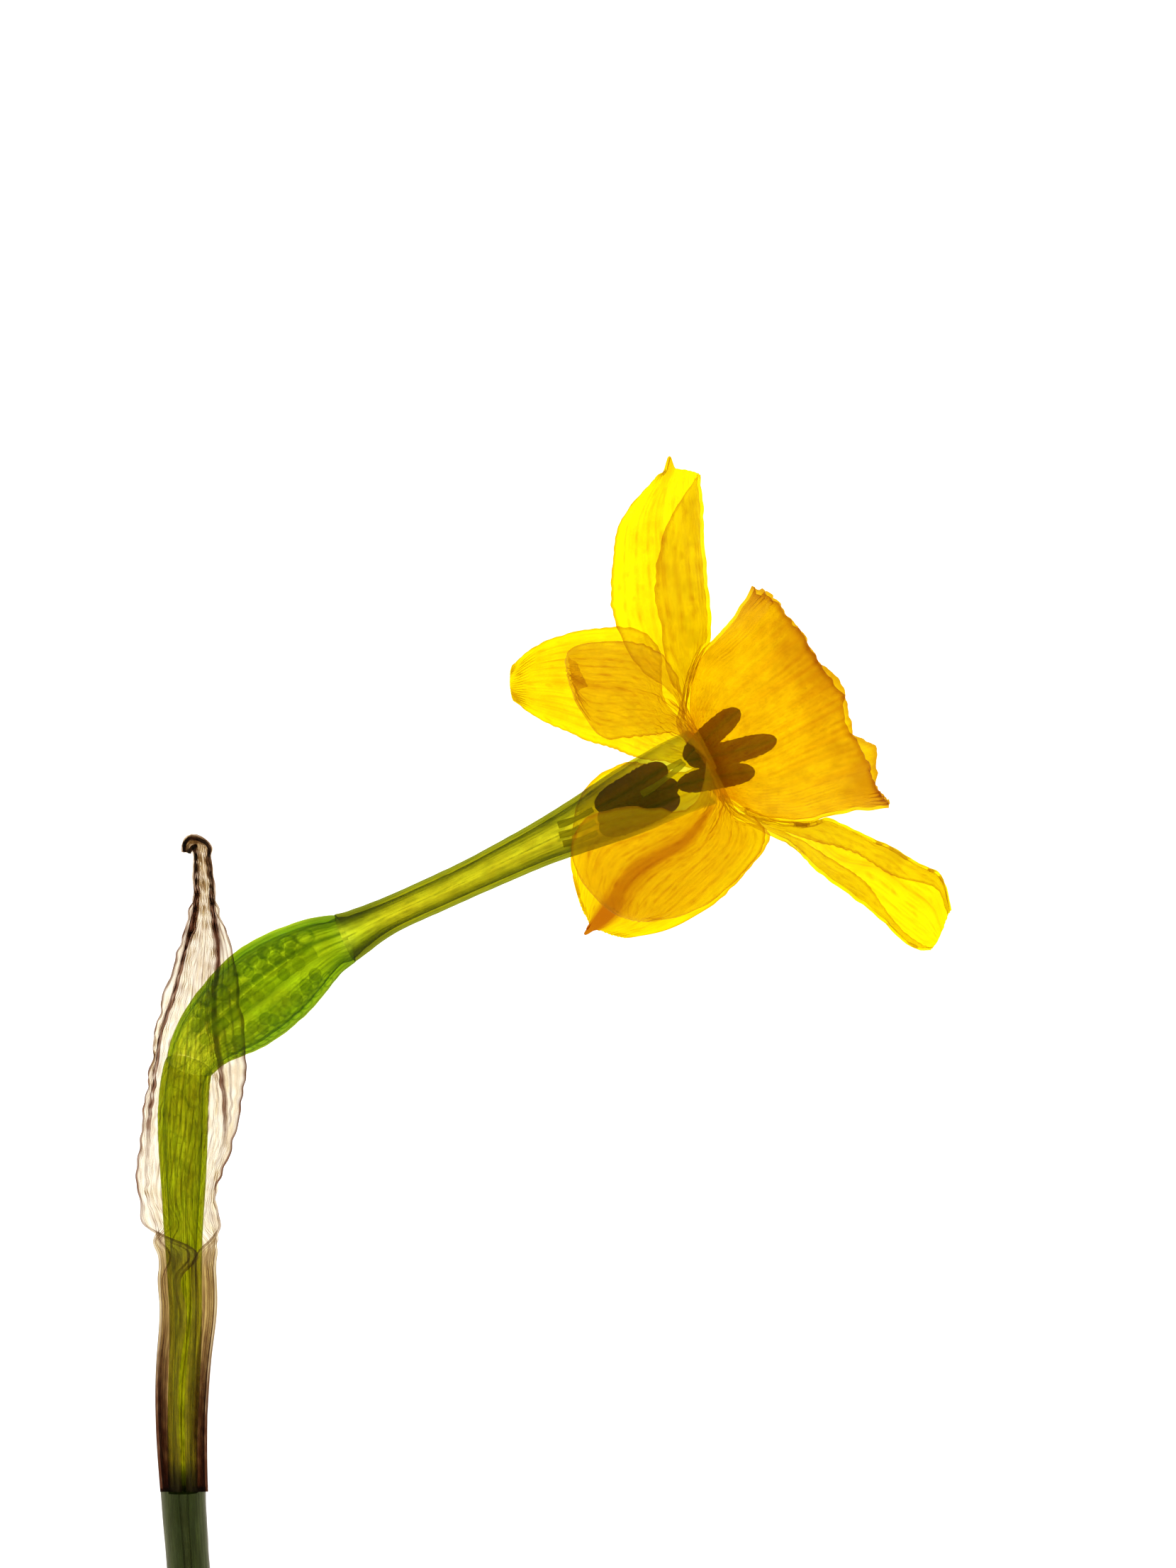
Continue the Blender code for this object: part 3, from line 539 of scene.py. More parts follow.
rows, cols = 260, 128
path, r, ahead = reach(0, PEDICEL_END, rows, PEDICEL_R, (0.0, 0.25))
t, v = turns(cols)[None, :], np.linspace(0, 1, rows)[:, None]
bend = smooth(v, 0.72, 0.95)
ribs = 0.010 * np.cos(11 * t + 0.4) + 0.006 * np.cos(17 * t + 2.0)
cells = 0.010 * ripple(t * 1.6, v * 30, 21, high=3.0) * bend
radius = r[:, None] * (1 + ribs * (1 - 0.3 * bend) + cells + 0.006 * ripple(t / 6.283, v * 6, 22))
line_wave = np.clip(np.cos(30 * t + 1.1 * np.sin(6 * v + t) + 0.5 * np.sin(17 * v)) * 2.2 - 1.2, 0, 1)
line_wave = line_wave * (0.65 + 0.35 * ripple(t / 6.283 * 4, v * 9, 25))
u_cell, w_cell = t * 2.6 + 0.25 * np.sin(38 * v), v * 62 + 0.5 * np.sin(3 * t)
cell_edge = np.clip(np.abs(np.sin(u_cell * 1.9 + 0.9 * np.sin(w_cell * 0.5))) * -6 + 1.4, 0, 1) + np.clip(np.abs(np.sin(w_cell + 1.4 * np.sin(u_cell))) * -5 + 0.9, 0, 1)
tone = np.zeros((rows, cols, 3))
tone[..., 0] = 0.85 * line_wave * (1 - 0.7 * bend) + 0.75 * smooth(-v, -0.085, -0.01)
tone[..., 0] += 0.42 * bend * np.clip(cell_edge, 0, 1)
# painted shade: the pedicel is darkened along its two flanks, left and right as it lies
tone[..., 0] += 0.42 * np.abs(np.cos(t)) ** 10
tone[..., 1] = 0.35 * np.clip(ripple(t / 6.283 * 2, v * 5, 24), 0, 1)
stalk(
    "pedicel_skin", path, radius, PEDICEL, "pedicel",
    inner=radius - 0.44 + 0.10 * smooth(v, 0.96, 1.0), tangent=ahead, tone=np.clip(tone, 0, 1), closed=(3, 0),
)

# ---------------------------------------------------------------- ovary and its ovules
rows, cols = 190, 150
path, r, ahead = reach(PEDICEL_END, OVARY_END, rows, OVARY_R, (-0.12, 0.02))
t, v = turns(cols)[None, :], np.linspace(0, 1, rows)[:, None]
lobes = 1 + 0.045 * np.cos(3 * t) - 0.025 * bell(np.mod(t + math.pi / 3, 2 * math.pi / 3) - math.pi / 3 + 0 * v, 0.06) * smooth(v, 0.05, 0.3)
radius = r[:, None] * lobes * (1 + 0.006 * ripple(t / 6.283 * 2, v * 3, 31))
inner_r = np.clip(r - 0.55, 0.8, None)
seam = bell(np.mod(t + math.pi / 3, 2 * math.pi / 3) - math.pi / 3 + 0 * v, 0.10)
tone = np.zeros((rows, cols, 3))
body_v = smooth(v, 0.10, 0.25)
threads = np.clip(np.cos(21 * t + 0.8 * np.sin(4 * v + 2 * t)) * 2.4 - 1.5, 0, 1)
tone[..., 0] = 0.45 * seam * body_v + 0.42 * threads + 0.0 * bell(v - 0.955, 0.022)
for lane_turn, drift in ((1.15, 0.25), (1.60, -0.10), (2.02, 0.15), (2.75, 0.1), (0.42, -0.1)):
    tone[..., 0] += 0.55 * bell(t - lane_turn - drift * (v - 0.5), 0.032) * body_v * (1 - smooth(v, 0.90, 0.97))
u_cell, w_cell = t * 3.0 + 0.3 * np.sin(21 * v), v * 58 + 0.5 * np.sin(3 * t)
cell_edge = np.clip(np.abs(np.sin(u_cell * 1.6 + 0.9 * np.sin(w_cell * 0.5))) * -6 + 1.4, 0, 1) + np.clip(np.abs(np.sin(w_cell + 1.4 * np.sin(u_cell))) * -5 + 0.9, 0, 1)
tone[..., 0] += 0.36 * np.clip(cell_edge, 0, 1) * (1 - smooth(v, 0.12, 0.30))
tone[..., 1] = 0.30 * bell(v - 0.5, 0.3) * np.clip(np.cos(3 * t), 0, 1) + 0.35 * (1 - smooth(v, 0.05, 0.25))
# painted shade: the ovary is darkened along its two flanks, left and right as it lies
tone[..., 0] += 0.50 * np.abs(np.cos(t)) ** 8
tone[..., 2] = 1 - smooth(v, 0.02, 0.24)
# more painted shade on the flanks, growing towards the neck of the tube
tone[..., 0] += 0.55 * np.abs(np.cos(t)) ** 1.5 * smooth(v, 0.78, 1.0)
tone[..., 1] += 0.45 * (1 - smooth(v, 0.12, 0.52))
arc = knots_of(path) * LINE_LENGTH * (LINE_KNOTS[OVARY_END] - LINE_KNOTS[PEDICEL_END])
for side_turn, first_v, last_v, many, size in ((2.42, 0.30, 0.86, 9, 0.56), (0.62, 0.26, 0.84, 9, 0.46), (1.30, 0.32, 0.78, 7, 0.42)):
    for step in range(many):
        w = first_v + (last_v - first_v) * step / (many - 1)
        near = r[int(w * (rows - 1))]
        away = np.hypot((arc[:, None] - w * arc[-1]), (t - side_turn - 0.05 * math.sin(step * 2.1)) * near * 0.92)
        strength = 1.0 if side_turn != 1.30 else 0.35
        tone[..., 1] += 0.75 * strength * (1 - smooth(away, size * 0.55, size * 0.9))
        tone[..., 0] += 0.70 * strength * bell(away - size * 0.98, 0.10)
stalk(
    "ovary_wall", path, radius, OVARY, "ovary",
    inner=np.clip(radius - 0.55 + 0.30 * smooth(v, 0.94, 1.0) + 0.22 * (1 - smooth(v, 0.10, 0.50)), 0.8, None),
    tangent=ahead, tone=np.clip(tone, 0, 1),
)
_, sides, ups = cross_frames(path, ahead)


def ball_grid(centre, axes, size, rings=10, segments=16):
    lat = np.linspace(-math.pi / 2, math.pi / 2, rings)
    lon = turns(segments)
    out = np.empty((rings, segments, 3))
    for i, la in enumerate(lat):
        c = max(math.cos(la), 0.02)
        out[i] = (
            centre
            + axes[0] * (size[0] * math.sin(la))
            + np.outer(np.cos(lon) * c * size[1], axes[1])
            + np.outer(np.sin(lon) * c * size[2], axes[2])
        )
    return out


def gather(name, grids, mat, node, tones):
    """Several closed grids of rings in one piece."""
    points, faces, uvs, tone_rows = [], [], [], []
    start = 0
    for g, tn in zip(grids, tones):
        rings, segs = g.shape[:2]
        points.append(g.reshape(-1, 3))
        for i in range(rings - 1):
            for j in range(segs):
                k = (j + 1) % segs
                faces.append((start + i * segs + j, start + i * segs + k, start + (i + 1) * segs + k, start + (i + 1) * segs + j))
        faces.append(tuple(start + j for j in range(segs - 1, -1, -1)))
        faces.append(tuple(start + (rings - 1) * segs + j for j in range(segs)))
        u, w = np.meshgrid(np.linspace(0, 1, segs), np.linspace(0, 1, rings))
        uvs.append(np.stack([u, w], -1).reshape(-1, 2))
        tone_rows.append(np.broadcast_to(tn, (rings, segs, 3)).reshape(-1, 3))
        start += rings * segs
    fans = []
    for f in faces:
        if len(f) <= 4:
            fans.append(f)
        else:
            fans += [(f[0], f[i], f[i + 1]) for i in range(1, len(f) - 1)]
    return solid(name, np.concatenate(points), fans, np.concatenate(uvs), np.concatenate(tone_rows), mat, node)


rng = np.random.default_rng(77)
grids, tones = [], []
core_rows = np.arange(40, rows - 24, 8)
core = np.array([
    path[i] + np.outer(np.cos(turns(24)), sides[i]) * 0.55 + np.outer(np.sin(turns(24)), ups[i]) * 0.55
    for i in core_rows
])
grids.append(core)
tones.append(np.array([0.15, 0.0, 0.0]))
for cell in range(3):
    middle = cell * 2 * math.pi / 3
    for lane, off in ((0, -0.38), (1, 0.38)):
        for step in range(9):
            w = 0.20 + 0.072 * step + 0.012 * lane + rng.uniform(-0.006, 0.006)
            i = int(w * (rows - 1))
            room = r[i] - 0.55
            size = min(0.50, 0.22 * room) * rng.uniform(0.9, 1.08)
            out = room - size - 0.12
            a = middle + off + rng.uniform(-0.05, 0.05)
            centre = path[i] + sides[i] * (out * math.cos(a)) + ups[i] * (out * math.sin(a))
            along = ahead[i] / np.linalg.norm(ahead[i])
            grids.append(ball_grid(centre, (along, sides[i], ups[i]), (size * 1.02, size, size)))
            tones.append(np.array([rng.uniform(0, 0.25), rng.uniform(0.2, 0.7), 0.0]))
gather("ovules_on_core", grids, OVULE, "placenta", tones)

# ---------------------------------------------------------------- floral tube
rows, cols = 260, 108
path, r, ahead = reach(OVARY_END, len(CENTRE_LINE) - 1, rows, TUBE_R, (0.0, 0.0))
tube_path = path
t, v = turns(cols)[None, :], np.linspace(0, 1, rows)[:, None]
ridges = 0.018 * np.cos(6 * t + 0.3) + 0.008 * np.cos(12 * t)
radius = r[:, None] * (1 + ridges * (1 - 0.6 * v) + 0.006 * ripple(t / 6.283 * 2, v * 5, 41))
tone = np.zeros((rows, cols, 3))
tone[..., 0] = 0.50 * np.clip(np.cos(24 * t + 0.8 * np.sin(5 * v) + 0.3 * np.sin(23 * v)) * 2.0 - 1.1, 0, 1) * (0.6 + 0.4 * ripple(t / 6.283 * 3, v * 7, 43))
tone[..., 2] = 1 - smooth(v, 0.0, 0.13)
# painted shade: the tube is darkened along its two flanks, left and right as it lies, most at its base and again
# along its whole length
tone[..., 0] += 0.55 * np.abs(np.cos(t)) ** 1.2 * (1 - smooth(v, 0.01, 0.20))
tone[..., 0] += 1.0 * np.abs(np.cos(t + 0.12)) ** 2.6 * (1 - 0.25 * v)
# painted highlight: the green lightens a band along the top of the tube
tone[..., 1] = 0.95 * np.clip(np.sin(t - 0.30), 0, 1) ** 6 * (1 - 0.2 * v)
tone[..., 0] += 0.30 * smooth(ripple(t / 6.283 * 4, v * 3, 44, high=5.0), 0.2, 1.2) * (1 - tone[..., 1])
tone[..., 0] *= 1 - 0.85 * smooth(v, 0.60, 0.92)
tone[..., 1] = np.maximum(tone[..., 1], 0.75 * smooth(v, 0.75, 0.97))
stalk(
    "floral_tube_wall", path, radius, TUBE, "floral_tube",
    inner=radius - 0.40 + 0.24 * smooth(v, 0.66, 0.95) + 0.14 * (1 - smooth(v, 0.0, 0.035)), tangent=ahead, tone=np.clip(tone, 0, 1),
)

# ---------------------------------------------------------------- corona
CORONA_PROFILE = np.array([
    (-0.40, 2.80), (0.05, 3.20), (0.60, 4.15), (1.15, 5.15), (1.95, 6.20), (2.90, 7.10), (4.20, 7.85),
    (5.60, 8.20), (7.20, 8.65), (8.90, 9.30), (CORONA_DEPTH, CORONA_MOUTH_R),
])
RIM_REACH = [  # degrees from CROSS towards RISE, how much further the rim reaches there
    (0, -0.40), (18, 0.20), (36, -0.01), (57, 0.49), (70, 0.33), (82, 0.22), (94, 0.55),
    (102, 0.42), (110, -0.06), (126, -0.32), (141, -0.10), (160, -0.09), (180, 0.64), (200, 0.52),
    (218, 1.28), (228, 2.30), (238, 2.56), (245, 1.91), (252, 1.64), (262, 2.47), (271, 3.16),
    (280, 2.64), (290, 2.14), (300, 2.41), (312, 1.83), (325, 1.40), (342, 0.94), (360, -0.40),
]


def rim_reach(turn):
    table = np.array(RIM_REACH, float)
    wide = np.concatenate([table[:-1] - [360, 0], table[:-1], table + [360, 0]])
    wide = wide[np.argsort(wide[:, 0])]
    keep = np.concatenate([[True], np.diff(wide[:, 0]) > 0.5])
    wide = wide[keep]
    span = wide[-1, 0] - wide[0, 0]
    at = (np.degrees(np.mod(turn, 2 * math.pi)) - wide[0, 0]) / span
    return spline(wide[:, 1], at, (wide[:, 0] - wide[0, 0]) / span)[:, 0]


rows, cols = 84, 300
s, t = np.linspace(0, 1, rows)[:, None], turns(cols)[None, :]
profile = spline(CORONA_PROFILE, s[:, 0], knots_of(CORONA_PROFILE))
lip = np.clip((s - 0.55) / 0.45, 0, 1) ** 2
rim = smooth(s, 0.90, 1.0)
a = profile[:, :1] + s**3 * rim_reach(t[0])[None, :] + lip * 0.16 * np.sin(9 * t + 1.1)
a = a + rim * (0.06 * np.sin(31 * t + 1) + 0.05 * np.sin(47 * t + 2.2) + 0.03 * np.sin(83 * t))
radius = profile[:, 1:] + lip * (0.28 * np.sin(12 * t + 0.6) + 0.16 * np.sin(19 * t + 2.0))
radius = radius + 0.035 * smooth(s, 0.05, 0.3) * np.cos(52 * t + 0.8 * np.sin(3 * s + 2 * t))
radius = radius + 0.05 * ripple(t / 6.283 * 3, s * 2, 51) * smooth(s, 0.1, 0.4)
radius = radius + (0.22 * np.cos(t) - 0.12 - 0.16 * bell(s - 0.42, 0.12) * (1 - np.cos(t)) / 2) * smooth(s, 0.15, 0.4)
radius = radius + rim * (0.10 * np.sin(7 * t + 0.4) + 0.07 * np.sin(23 * t + 1.3))
grid = (
    MOUTH
    + AXIS * a[..., None]
    + CROSS * (radius * np.cos(t))[..., None]
    + RISE * (radius * np.sin(t))[..., None]
)
tone = np.zeros((rows, cols, 3))
tone[..., 0] = 0.42 * smooth(s, 0.965, 1.0) + 0.34 * smooth(s, 0.70, 1.0) * (0.7 + 0.3 * np.sin(5 * t + 1))
ribbing = np.cos(104 * t + 1.2 * np.sin(3 * s + 2 * t) + 0.5 * np.sin(11 * t))
tone[..., 0] += 0.26 * np.clip(ribbing * 1.6 - 0.7, 0, 1) * smooth(s, 0.15, 0.35) * (0.6 + 0.4 * ripple(t * 3, s * 4, 54))
tone[..., 1] = 0.45 * np.clip(-ribbing * 1.6 - 0.7, 0, 1) * smooth(s, 0.2, 0.4) * (1 - smooth(s, 0.75, 0.95))
specks = ripple(t / 6.283 * 16, s * 14, 53, high=7.0)
tone[..., 0] += 0.85 * smooth(specks, 1.0, 1.5) * smooth(-s, -0.52, -0.34)
tone[..., 2] = 0.55 * smooth(ripple(t / 6.283 * 8, s * 6, 55), 0.3, 1.3) * smooth(-s, -0.45, -0.2) + 0.35 * smooth(-s, -0.30, -0.05)
uv = np.stack(np.broadcast_arrays(t / (2 * math.pi), s), -1)
thick = np.broadcast_to(0.34 - 0.10 * s + 0.06 * rim, (rows, cols))
leaf("corona_cup", grid, thick, uv, np.clip(tone, 0, 1), CORONA, "corona", around=True)

# ---------------------------------------------------------------- tepals
TEPALS = {
    "tepal_outer_1": [
        [(9.1, 25.94, 13.0), (8.83, 26.28, 12.1), (8.84, 26.28, 11.1), (9.13, 25.95, 10.2)],
        [(8.59, 28.59, 14.6), (8.99, 29.16, 13.4), (9.89, 28.62, 11.6), (9.25, 28.25, 9.0)],
        [(5.81, 30.79, 16.0), (7.76, 31.63, 15.0), (10.56, 31.11, 11.8), (8.19, 30.03, 8.8)],
        [(3.88, 34.1, 16.8), (7.2, 34.67, 15.6), (11.11, 33.89, 12.0), (7.58, 33.39, 8.2)],
        [(3.44, 36.86, 16.6), (7.2, 37.44, 15.4), (10.94, 36.94, 12.2), (6.97, 37.01, 8.4)],
        [(3.66, 40.19, 16.0), (7.37, 40.5, 14.8), (10.67, 40.0, 12.2), (7.24, 40.06, 9.0)],
        [(4.44, 42.87, 15.0), (7.65, 43.39, 14.2), (10.5, 43.05, 12.2), (8.24, 42.99, 10.0)],
        [(5.99, 44.83, 14.2), (7.88, 45.29, 13.6), (10.39, 45.0, 12.2), (9.35, 44.81, 10.8)],
        [(7.21, 46.07, 13.6), (7.99, 46.41, 13.2), (10.33, 46.05, 12.2), (10.12, 45.79, 11.6)],
    ],
    "tepal_inner_1": [
        [(8.93, 25.88, 13.5), (9.7, 24.66, 14.7), (10.36, 23.44, 15.2)],
        [(8.74, 29.13, 17.0), (9.23, 27.19, 18.0), (9.34, 25.26, 17.4)],
        [(7.39, 31.85, 20.0), (6.33, 28.7, 22.0), (7.16, 25.74, 21.0)],
        [(5.12, 32.86, 23.0), (3.86, 29.22, 25.2), (4.96, 25.51, 23.6)],
        [(3.2, 32.88, 25.4), (2.1, 29.86, 27.2), (2.87, 25.5, 25.2)],
        [(1.45, 32.7, 26.8), (0.9, 30.39, 28.0), (1.67, 26.7, 26.4)],
        [(0.36, 32.31, 27.4), (0.25, 30.61, 28.2), (0.79, 28.22, 27.2)],
        [(0.03, 31.71, 27.0), (0.19, 30.51, 27.2), (0.74, 28.99, 26.8)],
        [(0.68, 31.29, 26.0), (1.07, 30.36, 25.8), (1.5, 29.43, 25.8)],
    ],
    "tepal_outer_2": [
        [(10.86, 22.89, 15.2), (11.41, 21.72, 14.7), (12.09, 20.56, 13.6)],
        [(10.22, 20.68, 17.4), (11.33, 19.9, 17.6), (13.83, 19.46, 16.4)],
        [(6.18, 20.02, 20.0), (9.64, 17.38, 20.8), (15.34, 18.25, 18.8)],
        [(2.55, 19.69, 21.8), (6.88, 15.91, 22.6), (14.59, 16.06, 20.6)],
        [(0.57, 17.94, 22.6), (4.96, 14.27, 23.2), (12.32, 13.71, 21.6)],
        [(0.68, 15.36, 22.6), (3.97, 12.9, 23.0), (10.18, 12.28, 22.0)],
        [(2.11, 13.11, 22.2), (4.3, 11.85, 22.4), (7.98, 11.57, 21.8)],
        [(3.64, 11.95, 21.8), (5.07, 11.46, 21.8), (6.61, 11.34, 21.6)],
    ],
    "tepal_inner_2": [
        [(12.1, 20.56, 13.2), (12.33, 20.28, 12.3), (12.4, 20.17, 11.6), (12.35, 20.28, 10.8), (12.14, 20.55, 9.9)],
        [(14.7, 19.12, 13.6), (14.43, 20.0, 12.8), (14.79, 19.28, 11.6), (14.92, 18.55, 10.2), (14.6, 18.99, 9.0)],
        [(17.33, 18.06, 12.4), (17.22, 19.45, 12.2), (17.03, 18.55, 10.6), (16.94, 17.54, 9.0), (17.41, 17.87, 8.0)],
        [(20.16, 17.21, 9.6), (20.49, 19.05, 10.0), (19.52, 17.48, 8.2), (18.66, 16.3, 6.6), (20.14, 16.4, 5.6)],
        [(23.0, 16.3, 7.4), (23.16, 17.82, 8.0), (22.08, 16.07, 6.2), (20.44, 14.61, 4.8), (22.25, 15.1, 4.0)],
        [(25.05, 14.95, 6.0), (25.6, 16.8, 6.6), (24.24, 14.83, 5.0), (22.87, 12.92, 3.8), (23.78, 13.92, 3.4)],
        [(27.21, 14.27, 5.0), (27.93, 15.34, 5.2), (26.62, 13.25, 4.0), (25.12, 11.06, 3.4), (25.25, 11.78, 3.0)],
        [(29.24, 13.59, 4.4), (29.52, 14.38, 4.6), (28.49, 11.74, 3.6), (27.14, 9.26, 3.4), (27.15, 9.77, 3.2)],
        [(30.04, 11.57, 4.2), (30.15, 11.8, 4.2), (29.66, 10.34, 3.8), (28.6, 8.93, 3.6), (28.38, 9.1, 3.4)],
    ],
    "tepal_inner_3": [
        [(8.91, 25.9, 9.5), (9.76, 24.68, 8.5), (10.49, 23.45, 8.0)],
        [(7.53, 28.65, 7.2), (7.71, 25.86, 6.0), (8.27, 23.57, 6.4)],
        [(7.33, 32.03, 5.0), (5.88, 26.83, 3.2), (5.71, 23.91, 3.7)],
        [(5.15, 34.18, 3.2), (3.36, 27.74, 1.3), (3.69, 24.7, 1.6)],
        [(2.06, 34.2, 1.8), (1.11, 28.7, 0.75), (1.78, 25.27, 0.95)],
        [(-0.75, 33.59, 1.0), (-1.26, 30.0, 0.45), (-0.53, 26.28, 0.55)],
        [(-3.06, 32.47, 0.7), (-3.29, 30.39, 0.38), (-2.61, 27.3, 0.42)],
        [(-4.41, 31.18, 0.5), (-4.58, 30.0, 0.36), (-4.3, 28.54, 0.36)],
    ],
    "tepal_outer_3": [
        [(10.93, 23.01, 8.1), (11.49, 21.72, 8.5), (12.14, 20.5, 9.5)],
        [(8.84, 22.79, 4.6), (10.63, 19.71, 4.8), (14.25, 18.7, 6.2)],
        [(5.88, 23.58, 2.3), (8.69, 17.73, 2.6), (16.02, 17.74, 4.2)],
        [(2.96, 22.9, 1.35), (6.45, 15.59, 1.3), (14.14, 14.92, 2.3)],
        [(0.94, 20.65, 1.2), (4.37, 14.07, 0.75), (12.24, 12.89, 1.2)],
        [(0.37, 17.72, 0.8), (3.19, 12.71, 0.5), (10.0, 11.31, 0.7)],
        [(0.37, 15.13, 0.6), (2.46, 11.59, 0.4), (7.3, 10.12, 0.5)],
        [(0.88, 12.99, 0.5), (2.01, 10.74, 0.38), (4.71, 9.67, 0.38)],
    ],
}


def net_surface(net, rows, cols, shared=False):
    """A smooth surface through a net of guide points."""
    net = np.asarray(net, float)
    v = np.linspace(0, 1, cols)
    if shared:
        k = np.mean([knots_of(row) for row in net], axis=0)
        across = np.array([spline(row, v, k) for row in net])
    else:
        across = np.array([spline(row, v, knots_of(row)) for row in net])
    middle = across[:, cols // 2]
    return np.stack([spline(across[:, j], np.linspace(0, 1, rows), knots_of(middle)) for j in range(cols)], axis=1)


def off_the_cup(grid, clear=0.33):
    """Points of a tepal, moved back or outwards where the corona would otherwise meet them."""
    rel = grid - MOUTH
    a, p, q = rel @ AXIS, rel @ CROSS, rel @ RISE
    r, turn = np.hypot(p, q), np.arctan2(q, p)
    lean = 0.22 * np.cos(turn) - 0.12
    back = np.minimum(a, np.interp(r - lean, CORONA_PROFILE[:, 1], CORONA_PROFILE[:, 0]) - clear)
    wide = np.maximum(r, np.interp(a, CORONA_PROFILE[:, 0], CORONA_PROFILE[:, 1]) + lean + clear + 0.02)
    near = r < 7.4
    moved_a, moved_r = np.where(near, back, a), np.where(near, r, wide)
    idle = (a < -0.6) | (r < 4.6)
    moved_a, moved_r = np.where(idle, a, moved_a), np.where(idle, r, moved_r)
    scale = moved_r / np.maximum(r, 1e-6)
    return MOUTH + AXIS * moved_a[..., None] + CROSS * (p * scale)[..., None] + RISE * (q * scale)[..., None]


def normals_of(grid):
    n = np.cross(np.gradient(grid, axis=0), np.gradient(grid, axis=1))
    return n / np.maximum(np.linalg.norm(n, axis=2, keepdims=True), 1e-9)


# name: net rows, columns, midrib position across, ruffle height, seed, midrib darkness,
# tip point (reach in x, y, z and where across), how far each margin is darkened
TEPAL_LOOKS = {
    "tepal_outer_1": dict(size=(130, 110), base=(0, -1), rib=0.30, ruffle=0.10, seed=101, dark=0.14, warm=0.0, pale=0.18, tip=((-0.02, 0.80, 0.05), 0.24, 0.036)),
    "tepal_inner_1": dict(size=(130, 96), base=(60, 1), rib=0.50, ruffle=0.10, seed=102, dark=0.15, warm=0.55, tip=None),
    "tepal_outer_2": dict(size=(130, 110), base=(120, 1), rib=0.50, ruffle=0.08, seed=103, dark=0.12, warm=0.75, tip=None),
    "tepal_inner_2": dict(size=(130, 110), base=(180, 1), rib=0.50, ruffle=0.08, seed=104, dark=0.15, warm=0.0, pale=0.45, tip=None),
    "tepal_inner_3": dict(size=(130, 96), base=(300, -1), rib=0.50, ruffle=0.04, seed=105, dark=0.12, warm=0.1, pale=0.0, tip=None),
    "tepal_outer_3": dict(size=(140, 120), base=(240, -1), rib=0.51, ruffle=0.04, seed=106, dark=1.0, warm=0.5, tip=((-0.60, -0.50, 0.05), 0.50, 0.040)),
}


def base_rows(middle, way, count, outer):
    """The claw of a tepal on the throat: a wide arc on the tube's rim, and one just outside it."""
    rows_out = []
    for a, r, half in ((-0.30, 2.98, 35.0), (-0.30 if outer else -0.05, 4.2, 36.0)):
        turn = np.radians(middle + way * np.linspace(-half, half, count))
        rows_out.append([tuple(from_axis(a, r * math.cos(x), r * math.sin(x))) for x in turn])
    return rows_out


